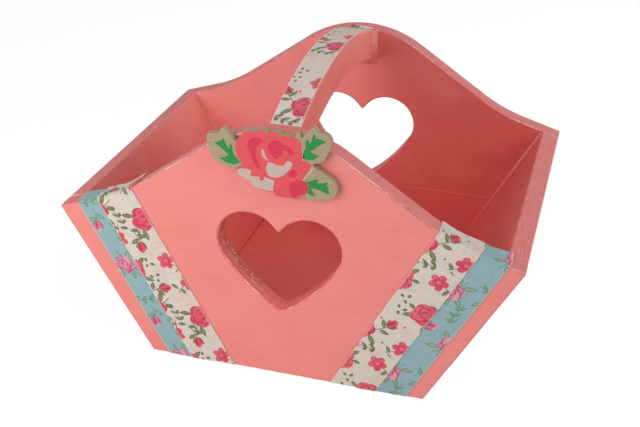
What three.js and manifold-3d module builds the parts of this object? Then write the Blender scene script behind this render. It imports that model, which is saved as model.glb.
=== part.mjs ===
// A small painted plywood basket: two shaped panels with heart cut-outs, slanted sides,
// a thin base, an arched handle, fabric strips and a rose cut-out on the front.
// Millimetres, +Z up, front towards -Y. The origin is the middle of the underside.

import * as THREE from 'three';
import { mergeVertices } from 'three/addons/utils/BufferGeometryUtils.js';
import Module from 'manifold-3d';

const wasm = await Module();
wasm.setup();

const degree = Math.PI / 180;
const percent = 0.01;

// Front and back panels
const cornerWidth = 220;
const baseWidth = 137.5;
const cornerHeight = 76.5;
const peakHeight = 128;
const basketDepth = 150.5;
const panelThickness = 9;
const humpRadius = 56;
const humpSlope = 34.5 * degree;
const shoulderSlope = 17.2 * degree;
const shoulderRadius = 80;

// Heart cut-outs, sawn by hand: each has its own place in its panel
const lobeRadius = 15.2;
const lobeOffset = 14.35;
const cleftLift = 1.6;
const heartTipHeight = 36.6;
const heartFlankRadius = 85;
const frontHeart = { middle: 0, lobeHeight: 71.8 };
const backHeart = { middle: 0.8, lobeHeight: 73.6 };

// Sides and base, glued between the two panels
const sideThickness = 9;
const baseThickness = 3;
const glueGap = 0.3;

// Arched handle
const handleWidth = 14;
const handleHeight = 17;
const handleEndTop = 127;
const handleCrest = 139.5;
const handleFrontOffset = 1.5;
const handleBackOffset = -0.2;

// Brads that pin the joints, set below the painted face
const bradDiameter = 1.6;
const bradLength = 28;
const bradHeadDiameter = 2.6;
const bradHeadHeight = 0.7;
const bradPointLength = 2.2;
const bradSet = 1;
const bradClearance = 0.25;
const bradsPerCorner = 3;
const cornerBradFirst = 14;
const cornerBradSpacing = 24;
const handleBradDepth = 3.5;
const handleBradSpacing = 5;
const bradSides = 10;

// Fabric strips on the front, in pairs that follow the slanted sides
const fabricThickness = 0.4;
const fabricGap = 0.3;
const stripWidth = 19.6;
const stripHem = 0.5;
const handleStripInset = 0.2;
const leftStrips = { side: -1, margin: 9.4, lean: -1.5 * degree, lap: 8.5 };
const rightStrips = { side: 1, margin: 8.2, lean: -0.2 * degree, lap: 6.6 };

// Rose cut-out, drawn in percent of its size: across, and down from the top of the front panel.
// Each corner starts an arc to the next one, and the last number is the arc's rise over half its chord.
const plaqueThickness = 3;
const roseSize = 25;
const roseFlower = [
  [-60, 14, 0.5], [-32, -2, 0.45], [-6, -1, 0.65], [15, -2, 0.03], [37, -2, 0.44], [52, 18, 0.04],
  [53, 39, 0.15], [67, 45, 0.35], [67, 53, 0.03], [51, 78, 0.97], [42, 108, 0], [39, 115, 0.02],
  [8, 116, 0.35], [-2, 108, 0.04], [-38, 103, 0.35], [-44, 92, 0.08], [-62, 85, 0.25], [-69, 70, 0],
  [-57, 61, 0.26], [-66, 17, 0],
];
const roseLeftLeaf = [
  [-69, 18, 0], [-48, 24, 0], [-48, 60, 0], [-67, 69, 0.1], [-80, 72, 0.25], [-114, 50, 0.08],
  [-121, 18, 0.35], [-114, 9, 0.03], [-100, 8, 0], [-92, -2, 0.55], [-85, -3, 0.03],
];
const roseUpperLeaf = [
  [51, -1, 0.02], [70, -22, 0.4], [77, -22, 0.05], [82, -14, 0.1], [92, -14, 0.35], [104, 4, 0.1],
  [89, 38, 0.11], [72, 44, 0], [70, 49, 0], [40, 46, 0], [40, 10, 0],
];
const roseLowerLeaf = [
  [69, 47, 0.04], [98, 64, 0.25], [114, 86, 0.32], [98, 108, 0.2], [47, 110, 0], [36, 84, 0], [56, 47, 0],
];
const roseTip = [[39, -3, 0], [46, -12, 0.6], [49, -11, 0], [51, -3, 0], [54, 2, 0], [44, 10, 0]];

const outlineSegments = 20;
const arcStep = 10 * degree;

// Places that several pieces share
const frontFace = -basketDepth / 2;
const frontInner = frontFace + panelThickness;
const backFace = basketDepth / 2;
const backInner = backFace - panelThickness;
const sideLean = Math.atan2((cornerWidth - baseWidth) / 2, cornerHeight);
const sideNormal = new THREE.Vector2(Math.cos(sideLean), -Math.sin(sideLean));
const shoulderNormal = new THREE.Vector2(Math.sin(shoulderSlope), Math.cos(shoulderSlope));
const slopeNormal = new THREE.Vector2(Math.sin(humpSlope), Math.cos(humpSlope));
const baseCorner = new THREE.Vector2(baseWidth / 2, 0);
const upperCorner = new THREE.Vector2(cornerWidth / 2, cornerHeight);
const humpCentre = new THREE.Vector2(0, peakHeight - humpRadius);
const sideBoundary = sideNormal.dot(baseCorner);
const shoulderBoundary = shoulderNormal.dot(upperCorner);
const slopeBoundary = slopeNormal.dot(humpCentre) + humpRadius;

// The point where two lines meet, each given by its normal and its distance from the origin.
function meet(firstNormal, firstDistance, secondNormal, secondDistance) {
  const across = firstNormal.x * secondNormal.y - firstNormal.y * secondNormal.x;
  return new THREE.Vector2(
    (firstDistance * secondNormal.y - secondDistance * firstNormal.y) / across,
    (firstNormal.x * secondDistance - secondNormal.x * firstDistance) / across,
  );
}

function solidOf(geometry) {
  const bare = geometry.clone();
  bare.deleteAttribute('normal');
  bare.deleteAttribute('uv');
  const merged = mergeVertices(bare);
  const mesh = new wasm.Mesh({
    numProp: 3,
    vertProperties: new Float32Array(merged.attributes.position.array),
    triVerts: new Uint32Array(merged.index.array),
  });
  return new wasm.Manifold(mesh);
}

function geometryOf(solid) {
  const mesh = solid.getMesh();
  const geometry = new THREE.BufferGeometry();
  geometry.setAttribute('position', new THREE.BufferAttribute(mesh.vertProperties, 3));
  geometry.setIndex(new THREE.BufferAttribute(mesh.triVerts, 1));
  geometry.computeVertexNormals();
  return geometry;
}

// An upright slab: an outline in X and Z, from its front to its back along Y.
function slab(shape, front, back) {
  const options = { depth: back - front, bevelEnabled: false, curveSegments: outlineSegments };
  const geometry = new THREE.ExtrudeGeometry(shape, options);
  geometry.rotateX(Math.PI / 2);
  geometry.translate(0, back, 0);
  return geometry;
}

// A bar from front to back: an outline in Y and Z, with the given width over the handle's line.
function bar(shape, width) {
  const options = { depth: width, bevelEnabled: false, curveSegments: outlineSegments };
  const geometry = new THREE.ExtrudeGeometry(shape, options);
  geometry.rotateX(Math.PI / 2);
  geometry.rotateZ(Math.PI / 2);
  geometry.translate(-width / 2, 0, 0);
  const middle = (handleFrontOffset + handleBackOffset) / 2;
  const slant = (handleBackOffset - handleFrontOffset) / (2 * handleReach);
  const line = new THREE.Matrix4().set(1, slant, 0, middle, 0, 1, 0, 0, 0, 0, 1, 0, 0, 0, 0, 1);
  return geometry.applyMatrix4(line);
}

function polygon(points) {
  return new THREE.Shape(points.map(([x, y]) => new THREE.Vector2(x, y)));
}

// The panel's outline, moved outwards by a distance. Fabric that wraps the panel follows it.
function panelOutline(grow = 0) {
  const foot = meet(sideNormal, sideBoundary + grow, new THREE.Vector2(0, -1), grow);
  const corner = meet(sideNormal, sideBoundary + grow, shoulderNormal, shoulderBoundary + grow);
  const hollow = meet(
    shoulderNormal, shoulderBoundary + shoulderRadius,
    slopeNormal, slopeBoundary + shoulderRadius,
  );
  const hollowRadius = shoulderRadius - grow;
  const down = -Math.PI / 2;
  const up = Math.PI / 2;
  const shape = new THREE.Shape();
  shape.moveTo(-foot.x, foot.y);
  shape.lineTo(foot.x, foot.y);
  shape.lineTo(corner.x, corner.y);
  shape.absarc(hollow.x, hollow.y, hollowRadius, down - shoulderSlope, down - humpSlope, true);
  shape.absarc(0, humpCentre.y, humpRadius + grow, up - humpSlope, up + humpSlope, false);
  shape.absarc(-hollow.x, hollow.y, hollowRadius, down + humpSlope, down + shoulderSlope, true);
  shape.lineTo(-corner.x, corner.y);
  shape.closePath();
  return shape;
}

// Two round lobes whose outer sides run on as flatter arcs down to the tip. Straight cuts between
// them meet in a cleft, which is lifted above the point where the round lobes would cross.
function heartOutline({ middle, lobeHeight }) {
  const lobe = new THREE.Vector2(lobeOffset, lobeHeight);
  const tip = new THREE.Vector2(0, heartTipHeight);
  const span = lobe.distanceTo(tip);
  const inset = heartFlankRadius - lobeRadius;
  const along = (heartFlankRadius ** 2 - inset ** 2 + span ** 2) / (2 * span);
  const across = Math.sqrt(heartFlankRadius ** 2 - along ** 2);
  const toLobe = lobe.clone().sub(tip).divideScalar(span);
  const flank = new THREE.Vector2(
    tip.x + toLobe.x * along - toLobe.y * across,
    tip.y + toLobe.y * along + toLobe.x * across,
  );
  const rise = Math.sqrt(lobeRadius ** 2 - lobeOffset ** 2) + cleftLift;
  const cleft = Math.PI - Math.atan2(rise, lobeOffset) - Math.acos(lobeRadius / Math.hypot(lobeOffset, rise));
  const joint = Math.atan2(lobe.y - flank.y, lobe.x - flank.x);
  const point = Math.atan2(tip.y - flank.y, tip.x - flank.x);
  const heart = new THREE.Path();
  heart.absarc(middle + lobe.x, lobe.y, lobeRadius, cleft, joint, true);
  heart.absarc(middle + flank.x, flank.y, heartFlankRadius, joint, point, true);
  heart.absarc(middle - flank.x, flank.y, heartFlankRadius, Math.PI - point, Math.PI - joint, true);
  heart.absarc(middle - lobe.x, lobe.y, lobeRadius, Math.PI - joint, Math.PI - cleft, true);
  heart.lineTo(middle, lobe.y + rise);
  heart.closePath();
  return heart;
}

// A side's section: the strip of the panel's outline that lies within the side's thickness.
function sideOutline() {
  const ground = new THREE.Vector2(0, -1);
  const innerBoundary = sideBoundary - sideThickness;
  const corners = [
    meet(sideNormal, innerBoundary, ground, 0),
    baseCorner,
    upperCorner,
    meet(sideNormal, innerBoundary, shoulderNormal, shoulderBoundary),
  ];
  return corners.map((corner) => [corner.x, corner.y]);
}

function baseOutline() {
  const boundary = sideBoundary - sideThickness - glueGap;
  const lower = meet(sideNormal, boundary, new THREE.Vector2(0, -1), 0);
  const upper = meet(sideNormal, boundary, new THREE.Vector2(0, 1), baseThickness);
  return polygon([
    [-lower.x, lower.y],
    [lower.x, lower.y],
    [upper.x, upper.y],
    [-upper.x, upper.y],
  ]);
}

// The handle's top is one arc from panel to panel, and its underside the same arc lower down.
const handleReach = backInner - glueGap;
const handleRise = handleCrest - handleEndTop;
const handleRadius = (handleReach ** 2 + handleRise ** 2) / (2 * handleRise);
const handleCentre = handleCrest - handleRadius;

function archBand(outerRadius, outerCentre, innerRadius, innerCentre) {
  const up = Math.PI / 2;
  const outerAngle = Math.asin(handleReach / outerRadius);
  const innerAngle = Math.asin(handleReach / innerRadius);
  const shape = new THREE.Shape();
  shape.absarc(0, outerCentre, outerRadius, up - outerAngle, up + outerAngle, false);
  shape.absarc(0, innerCentre, innerRadius, up + innerAngle, up - innerAngle, true);
  shape.closePath();
  return shape;
}

// Brads lie along Y, with the head towards the outer face of the panel that they hold.
function bradGeometry() {
  const radius = bradDiameter / 2;
  const neck = bradLength - bradHeadHeight;
  const profile = [
    [0, 0],
    [radius, bradPointLength],
    [radius, neck],
    [bradHeadDiameter / 2, neck],
    [bradHeadDiameter / 2, bradLength],
    [0, bradLength],
  ];
  return new THREE.LatheGeometry(profile.map(([x, y]) => new THREE.Vector2(x, y)), bradSides);
}

// The hole for a brad: wide for its head inside the panel, narrow in the piece it is driven into.
function bradHole(wide) {
  const diameter = (wide ? bradHeadDiameter : bradDiameter) + 2 * bradClearance;
  const length = bradLength + 2 * bradClearance;
  const geometry = new THREE.CylinderGeometry(diameter / 2, diameter / 2, length, bradSides);
  geometry.translate(0, bradLength / 2, 0);
  return geometry;
}

function placeBrad(geometry, brad) {
  const placed = geometry.clone();
  if (brad.facing === 'front') {
    placed.rotateX(Math.PI);
    placed.translate(brad.x, frontFace + bradSet + bradLength, brad.z);
  } else {
    placed.translate(brad.x, backFace - bradSet - bradLength, brad.z);
  }
  return placed;
}

// Corner brads run down the middle of each side's thickness.
function cornerBrads(facing, sideName, side) {
  const middle = sideBoundary - sideThickness / 2;
  return Array.from({ length: bradsPerCorner }, (_, row) => {
    const z = cornerBradFirst + row * cornerBradSpacing;
    const x = side * meet(sideNormal, middle, new THREE.Vector2(0, 1), z).x;
    return { name: `${facing}_${sideName}_brad_${row + 1}`, facing, x, z };
  });
}

function handleBrads(facing) {
  return [0, 1].map((row) => ({
    name: `handle_${facing}_brad_${row + 1}`,
    facing,
    x: facing === 'front' ? handleFrontOffset : handleBackOffset,
    z: handleEndTop - handleBradDepth - row * handleBradSpacing,
  }));
}

function drill(geometry, brads, wide) {
  const drilled = brads.reduce(
    (solid, brad) => solid.subtract(solidOf(placeBrad(bradHole(wide), brad))),
    solidOf(geometry),
  );
  return geometryOf(drilled);
}

// Fabric wrapped over the front panel's face and top edge, between two heights above the wood.
function wrap(lower, upper, strip) {
  const outside = solidOf(slab(panelOutline(upper), frontFace - upper, frontInner));
  const inside = solidOf(slab(panelOutline(lower), frontFace - lower, frontInner + panelThickness));
  const column = solidOf(slab(strip, frontFace - panelThickness, frontInner + panelThickness));
  return outside.subtract(inside).intersect(column);
}

// A strip's column in X and Z, between two distances inwards from the pair's outer edge.
function stripColumn(pair, near, far) {
  const lean = sideLean + pair.lean;
  const start = baseWidth / 2 - pair.margin;
  const place = (z, inwards) => pair.side * (start + z * Math.tan(lean) - inwards / Math.cos(lean));
  const top = peakHeight;
  return polygon([
    [place(stripHem, near), stripHem],
    [place(top, near), top],
    [place(top, far), top],
    [place(stripHem, far), stripHem],
  ]);
}

const fabricTop = fabricGap + fabricThickness;

function plainStrip(pair) {
  return geometryOf(wrap(fabricGap, fabricTop, stripColumn(pair, 0, stripWidth)));
}

// The floral strip laps over the plain one and steps down to the wood beside it.
function lappedStrip(pair) {
  const outerEdge = stripWidth - pair.lap;
  const step = stripWidth + fabricGap;
  const stepEnd = step + fabricThickness;
  const innerEdge = outerEdge + stripWidth;
  const lappedTop = 2 * fabricTop;
  const over = wrap(fabricTop + fabricGap, lappedTop, stripColumn(pair, outerEdge, stepEnd));
  const riser = wrap(fabricGap, lappedTop, stripColumn(pair, step, stepEnd));
  const rest = wrap(fabricGap, fabricTop, stripColumn(pair, step, innerEdge));
  return geometryOf(over.add(riser).add(rest));
}

// One part of the rose: arcs that rise to the left of the way from each corner to the next.
function roseShape(corners) {
  const places = corners.map(([across, down]) => new THREE.Vector2(
    roseSize * across * percent,
    peakHeight - roseSize * down * percent,
  ));
  const points = corners.flatMap(([, , bulge], index) => {
    const start = places[index];
    const end = places[(index + 1) % places.length];
    if (bulge === 0) {
      return [start];
    }
    const sweep = 4 * Math.atan(bulge);
    const steps = Math.ceil(sweep / arcStep);
    const toCentre = end.clone().sub(start).rotateAround(new THREE.Vector2(), -Math.PI / 2);
    const centre = start.clone().add(end).divideScalar(2);
    centre.addScaledVector(toCentre, (1 - bulge ** 2) / (4 * bulge));
    return Array.from({ length: steps }, (_, step) => (
      start.clone().rotateAround(centre, (-sweep * step) / steps)
    ));
  });
  return new THREE.Shape(points);
}

function rosePlaque() {
  const back = frontFace - glueGap;
  const front = back - plaqueThickness;
  const parts = [roseFlower, roseLeftLeaf, roseUpperLeaf, roseLowerLeaf, roseTip];
  const solids = parts.map((corners) => solidOf(slab(roseShape(corners), front, back)));
  return geometryOf(solids.reduce((whole, solid) => whole.add(solid)));
}

// Finishes
const coralPaint = { color: 0xee8f87, roughness: 0.5, metalness: 0 };
const floralCotton = { color: 0xdcd5c6, roughness: 0.95, metalness: 0 };
const blueCotton = { color: 0x98bcc2, roughness: 0.95, metalness: 0 };
const paintedRose = { color: 0xe05e61, roughness: 0.6, metalness: 0 };
const steel = { color: 0x9a9a9c, roughness: 0.4, metalness: 1 };

function piece(name, geometry, finish) {
  const mesh = new THREE.Mesh(geometry, new THREE.MeshStandardMaterial(finish));
  mesh.name = name;
  return mesh;
}

const frontLeftBrads = cornerBrads('front', 'left', -1);
const frontRightBrads = cornerBrads('front', 'right', 1);
const backLeftBrads = cornerBrads('back', 'left', -1);
const backRightBrads = cornerBrads('back', 'right', 1);
const handleFrontBrads = handleBrads('front');
const handleBackBrads = handleBrads('back');
const leftBrads = [...frontLeftBrads, ...backLeftBrads];
const rightBrads = [...frontRightBrads, ...backRightBrads];
const frontBrads = [...frontLeftBrads, ...frontRightBrads, ...handleFrontBrads];
const backBrads = [...backLeftBrads, ...backRightBrads, ...handleBackBrads];

function heartPanel(heart, front, back) {
  const shape = panelOutline();
  shape.holes.push(heartOutline(heart));
  return slab(shape, front, back);
}

const sideFront = frontInner + glueGap;
const sideBack = backInner - glueGap;
const rightSection = sideOutline();
const leftSection = rightSection.map(([x, z]) => [-x, z]).reverse();
const rightSide = slab(polygon(rightSection), sideFront, sideBack);
const leftSide = slab(polygon(leftSection), sideFront, sideBack);

const handleBar = bar(
  archBand(handleRadius, handleCentre, handleRadius, handleCentre - handleHeight),
  handleWidth,
);
const handleFabric = bar(
  archBand(handleRadius + fabricTop, handleCentre, handleRadius + fabricGap, handleCentre),
  handleWidth - 2 * handleStripInset,
);

const frontPanel = heartPanel(frontHeart, frontFace, frontInner);
const backPanel = heartPanel(backHeart, backInner, backFace);

const panels = new THREE.Group();
panels.add(piece('front_panel', drill(frontPanel, frontBrads, true), coralPaint));
panels.add(piece('back_panel', drill(backPanel, backBrads, true), coralPaint));
panels.add(piece('left_side_panel', drill(leftSide, leftBrads, false), coralPaint));
panels.add(piece('right_side_panel', drill(rightSide, rightBrads, false), coralPaint));
panels.add(piece('base_panel', slab(baseOutline(), sideFront, sideBack), coralPaint));
panels.add(piece('handle', drill(handleBar, [...handleFrontBrads, ...handleBackBrads], false), coralPaint));

const fixings = new THREE.Group();
for (const brad of [...frontBrads, ...backBrads]) {
  fixings.add(piece(brad.name, placeBrad(bradGeometry(), brad), steel));
}

const trim = new THREE.Group();
for (const [sideName, pair] of [['left', leftStrips], ['right', rightStrips]]) {
  trim.add(piece(`${sideName}_blue_ribbon`, plainStrip(pair), blueCotton));
  trim.add(piece(`${sideName}_floral_ribbon`, lappedStrip(pair), floralCotton));
}
trim.add(piece('handle_ribbon', handleFabric, floralCotton));
trim.add(piece('rose_plaque', rosePlaque(), paintedRose));

const basket = new THREE.Group();
basket.add(panels, fixings, trim);

export default basket;
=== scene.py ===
"""Looks of a small painted plywood basket with heart cut-outs, fabric strips and a rose cut-out.

Everything is in metres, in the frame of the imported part: +Z up, the front panel towards -Y.
"""

import cmath
import logging
import math
from dataclasses import dataclass, field, replace
from enum import Enum
from typing import Callable, Optional, Sequence, Union

import bmesh
import bpy
import numpy as np
from mathutils import Matrix, Vector, geometry, noise


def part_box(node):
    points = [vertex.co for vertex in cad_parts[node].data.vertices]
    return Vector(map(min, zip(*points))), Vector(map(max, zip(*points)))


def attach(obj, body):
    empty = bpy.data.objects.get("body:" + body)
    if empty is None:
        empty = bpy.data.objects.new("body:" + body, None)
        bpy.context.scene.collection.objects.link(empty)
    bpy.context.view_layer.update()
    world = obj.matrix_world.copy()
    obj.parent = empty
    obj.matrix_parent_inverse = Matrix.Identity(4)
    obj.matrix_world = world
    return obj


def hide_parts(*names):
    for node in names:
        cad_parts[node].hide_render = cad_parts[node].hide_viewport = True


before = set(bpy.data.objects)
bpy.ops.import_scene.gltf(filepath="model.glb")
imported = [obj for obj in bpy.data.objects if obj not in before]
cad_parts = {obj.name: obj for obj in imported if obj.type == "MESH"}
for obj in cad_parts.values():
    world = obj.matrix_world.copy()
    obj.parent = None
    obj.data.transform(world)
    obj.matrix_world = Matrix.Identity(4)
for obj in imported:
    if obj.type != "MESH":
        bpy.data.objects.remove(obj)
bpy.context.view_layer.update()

log = logging.getLogger("basket")

mm = 0.001
degree = math.pi / 180

Colour = tuple[float, float, float]
Loop = np.ndarray
Drawing = Sequence[tuple[float, float]]

GRAIN = "grain"
ARRIS = "arris"

FLAT = 0.002 * mm  # points this close to a level lie on it
SAME_DIGITS = 7  # points that agree to so many digits of a metre are one
SHARP = 14 * degree  # a stronger turn of an outline is a corner
CORNER_PIECE = 18 * degree  # a rounded corner has a point at least so often
CORNER_SHARE = 0.4  # the part of a stretch that one rounded corner may take
STRAIGHT = 8 * mm  # a longer stretch of an outline has one normal
NOISE_PHASE = 0.37  # stands for the numbers that a place lacks
THREAD_SIDES = 6
BEAD_ROOT = 0.25  # how far a bead reaches into the wood, over its radius


def screen(red: int, green: int, blue: int) -> Colour:
    """Turn a colour in screen values into linear light.

    Args:
        red: red from 0 to 255.
        green: green from 0 to 255.
        blue: blue from 0 to 255.

    Returns:
        The three values in linear light, from 0 to 1.
    """
    def linear(value: int) -> float:
        """One screen value in linear light."""
        share = value / 255
        return share / 12.92 if share <= 0.04045 else ((share + 0.055) / 1.055) ** 2.4

    return linear(red), linear(green), linear(blue)


class Value:
    """A shader value that takes part in Python expressions: each operator adds a Math node."""

    def __init__(self, graph: "Graph", socket: bpy.types.NodeSocket) -> None:
        """Wrap one output socket of a graph."""
        self.graph = graph
        self.socket = socket

    def math(self, operation: str, *others: "Number") -> "Value":
        """A Math node with this value first."""
        return self.graph.math(operation, self, *others)

    def __add__(self, other: "Number") -> "Value":
        """self + other"""
        return self.math("ADD", other)

    def __radd__(self, other: float) -> "Value":
        """other + self"""
        return self.math("ADD", other)

    def __sub__(self, other: "Number") -> "Value":
        """self - other"""
        return self.math("SUBTRACT", other)

    def __rsub__(self, other: float) -> "Value":
        """other - self"""
        return self.graph.math("SUBTRACT", other, self)

    def __mul__(self, other: "Number") -> "Value":
        """self * other"""
        return self.math("MULTIPLY", other)

    def __rmul__(self, other: float) -> "Value":
        """other * self"""
        return self.math("MULTIPLY", other)

    def __truediv__(self, other: "Number") -> "Value":
        """self / other"""
        return self.math("DIVIDE", other)

    def __rtruediv__(self, other: float) -> "Value":
        """other / self"""
        return self.graph.math("DIVIDE", other, self)

    def __neg__(self) -> "Value":
        """-self"""
        return self.math("MULTIPLY", -1)

    def __abs__(self) -> "Value":
        """abs(self)"""
        return self.math("ABSOLUTE")

    def __lt__(self, other: "Number") -> "Value":
        """1 where self is below other, else 0."""
        return self.math("LESS_THAN", other)

    def __gt__(self, other: "Number") -> "Value":
        """1 where self is above other, else 0."""
        return self.math("GREATER_THAN", other)

    def sine(self) -> "Value":
        """The sine of this angle in radians."""
        return self.math("SINE")

    def ramp(self, start: float, end: float) -> "Value":
        """A smooth step from 0 at start to 1 at end."""
        inputs = {"Value": self, "From Min": start, "From Max": end}
        settings = {"interpolation_type": "SMOOTHSTEP"}
        made = self.graph.node("ShaderNodeMapRange", settings, inputs)
        return Value(self.graph, made.outputs[0])


class Place:
    """A shader vector in millimetres on a surface: its operators add Vector Math nodes."""

    def __init__(self, graph: "Graph", socket: bpy.types.NodeSocket) -> None:
        """Wrap one vector socket of a graph."""
        self.graph = graph
        self.socket = socket

    def vector_math(self, operation: str, *others: object) -> "Place":
        """A Vector Math node with this vector first."""
        inputs = dict(enumerate((self, *others)))
        made = self.graph.node("ShaderNodeVectorMath", {"operation": operation}, inputs)
        return Place(self.graph, made.outputs[0])

    def __add__(self, other: object) -> "Place":
        """self + other"""
        return self.vector_math("ADD", other)

    def __sub__(self, other: object) -> "Place":
        """self - other"""
        return self.vector_math("SUBTRACT", other)

    def __mul__(self, other: Sequence[float]) -> "Place":
        """self times three factors"""
        return self.vector_math("MULTIPLY", other)

    def repeated(self, repeat: tuple[float, float]) -> "Place":
        """The same place in a repeat of that size, measured from the middle of the repeat."""
        half = (repeat[0] / 2, repeat[1] / 2, 1.0)
        return self.vector_math("WRAP", half, tuple(-h for h in half))

    def turned(self, degrees: float) -> "Place":
        """The place turned about the origin by an angle in degrees."""
        inputs = {"Vector": self, "Angle": degrees * degree}
        made = self.graph.node("ShaderNodeVectorRotate", {"rotation_type": "Z_AXIS"}, inputs)
        return Place(self.graph, made.outputs[0])

    def length(self) -> Value:
        """The distance from the origin."""
        made = self.graph.node("ShaderNodeVectorMath", {"operation": "LENGTH"}, {0: self})
        return Value(self.graph, made.outputs["Value"])

    def parts(self) -> tuple[Value, Value]:
        """The first two parts."""
        made = self.graph.node("ShaderNodeSeparateXYZ", {}, {0: self})
        return Value(self.graph, made.outputs[0]), Value(self.graph, made.outputs[1])


Number = Union[float, Value]
Paint = Union[Colour, bpy.types.NodeSocket]


class Graph:
    """The nodes of one material."""

    def __init__(self, name: str) -> None:
        """Start an empty node tree in a new material of that name."""
        self.material = bpy.data.materials.new(name)
        self.material.use_nodes = True
        self.tree = self.material.node_tree
        self.tree.nodes.clear()

    def node(self, kind: str, settings: dict, inputs: dict) -> bpy.types.Node:
        """Add a node.

        Args:
            kind: the node's type name.
            settings: attributes that are set first.
            inputs: a value or a link for each socket, by name or number.

        Returns:
            The new node.
        """
        made = self.tree.nodes.new(kind)
        for name, setting in settings.items():
            setattr(made, name, setting)
        for key, given in inputs.items():
            socket = made.inputs[key]
            if isinstance(given, (Value, Place)):
                self.tree.links.new(given.socket, socket)
            elif isinstance(given, bpy.types.NodeSocket):
                self.tree.links.new(given, socket)
            elif socket.type == "RGBA":
                socket.default_value = (*given, 1.0)
            else:
                socket.default_value = given
        return made

    def math(self, operation: str, *values: Number) -> Value:
        """A Math node on one to three values."""
        made = self.node("ShaderNodeMath", {"operation": operation}, dict(enumerate(values)))
        return Value(self, made.outputs[0])

    def mix(self, share: Number, first: Paint, second: Paint) -> bpy.types.NodeSocket:
        """A colour between two: the first at share 0, the second at share 1."""
        settings = {"data_type": "RGBA"}
        made = self.node("ShaderNodeMix", settings, {0: share, 6: first, 7: second})
        return made.outputs[2]

    def choose(self, share: Value, first: Place, second: Place) -> Place:
        """The first place at share 0, the second at share 1."""
        settings = {"data_type": "VECTOR"}
        made = self.node("ShaderNodeMix", settings, {0: share, 4: first, 5: second})
        return Place(self, made.outputs[1])

    def place(self) -> Place:
        """The surface's own millimetres: along the grain and across it."""
        made = self.node("ShaderNodeUVMap", {"uv_map": GRAIN}, {})
        return Place(self, made.outputs[0])

    def position(self) -> list[Value]:
        """The place in the basket in metres: to the right, to the back and up."""
        made = self.node("ShaderNodeNewGeometry", {}, {})
        parts = self.node("ShaderNodeSeparateXYZ", {}, {0: made.outputs["Position"]})
        return [Value(self, part) for part in parts.outputs]

    def attribute(self, name: str) -> Value:
        """A number that the mesh holds at its points."""
        made = self.node("ShaderNodeAttribute", {"attribute_name": name}, {})
        return Value(self, made.outputs["Fac"])

    def noise(self, place: Place, detail: float = 3.0, distortion: float = 0.0) -> Value:
        """Soft noise of about one unit across, from 0 to 1."""
        inputs = {"Vector": place, "Scale": 1.0, "Detail": detail, "Distortion": distortion}
        made = self.node("ShaderNodeTexNoise", {}, inputs)
        return Value(self, made.outputs[0])

    def specks(self, place: Place, radius: float, share: float) -> Value:
        """Round specks in some of the unit cells of a loose grid.

        Args:
            place: where to look, in units of one cell.
            radius: a speck's radius in cells.
            share: the share of cells that hold a speck.

        Returns:
            1 in a speck and 0 elsewhere.
        """
        made = self.node("ShaderNodeTexVoronoi", {}, {"Vector": place, "Scale": 1.0})
        near = Value(self, made.outputs["Distance"]).ramp(radius, radius * 0.5)
        red = self.node("ShaderNodeSeparateColor", {}, {0: made.outputs["Color"]}).outputs[0]
        return near * (Value(self, red) < share)

    def finish(
        self,
        base: Paint,
        roughness: Number,
        height: Value,
        relief: float,
        fixed: Optional[dict] = None,
    ) -> bpy.types.Material:
        """Close the material with one shader.

        Args:
            base: the colour over the surface.
            roughness: the roughness over the surface.
            height: the fine relief, from 0 to 1.
            relief: what a height of 1 is in metres.
            fixed: shader sockets that are the same all over.

        Returns:
            The finished material.
        """
        bump = self.node("ShaderNodeBump", {}, {"Height": height, "Distance": relief})
        inputs = {"Base Color": base, "Roughness": roughness, "Normal": bump.outputs[0]}
        inputs.update(fixed or {})
        shader = self.node("ShaderNodeBsdfPrincipled", {}, inputs)
        self.node("ShaderNodeOutputMaterial", {}, {"Surface": shader.outputs[0]})
        return self.material


class Grain(Enum):
    """Which side of a painted board a finish is for. The value is its slot on a board."""

    FACE = 0
    EDGE = 1
    CUT = 2
    INSIDE = 3
    FILLER = 4


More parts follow.
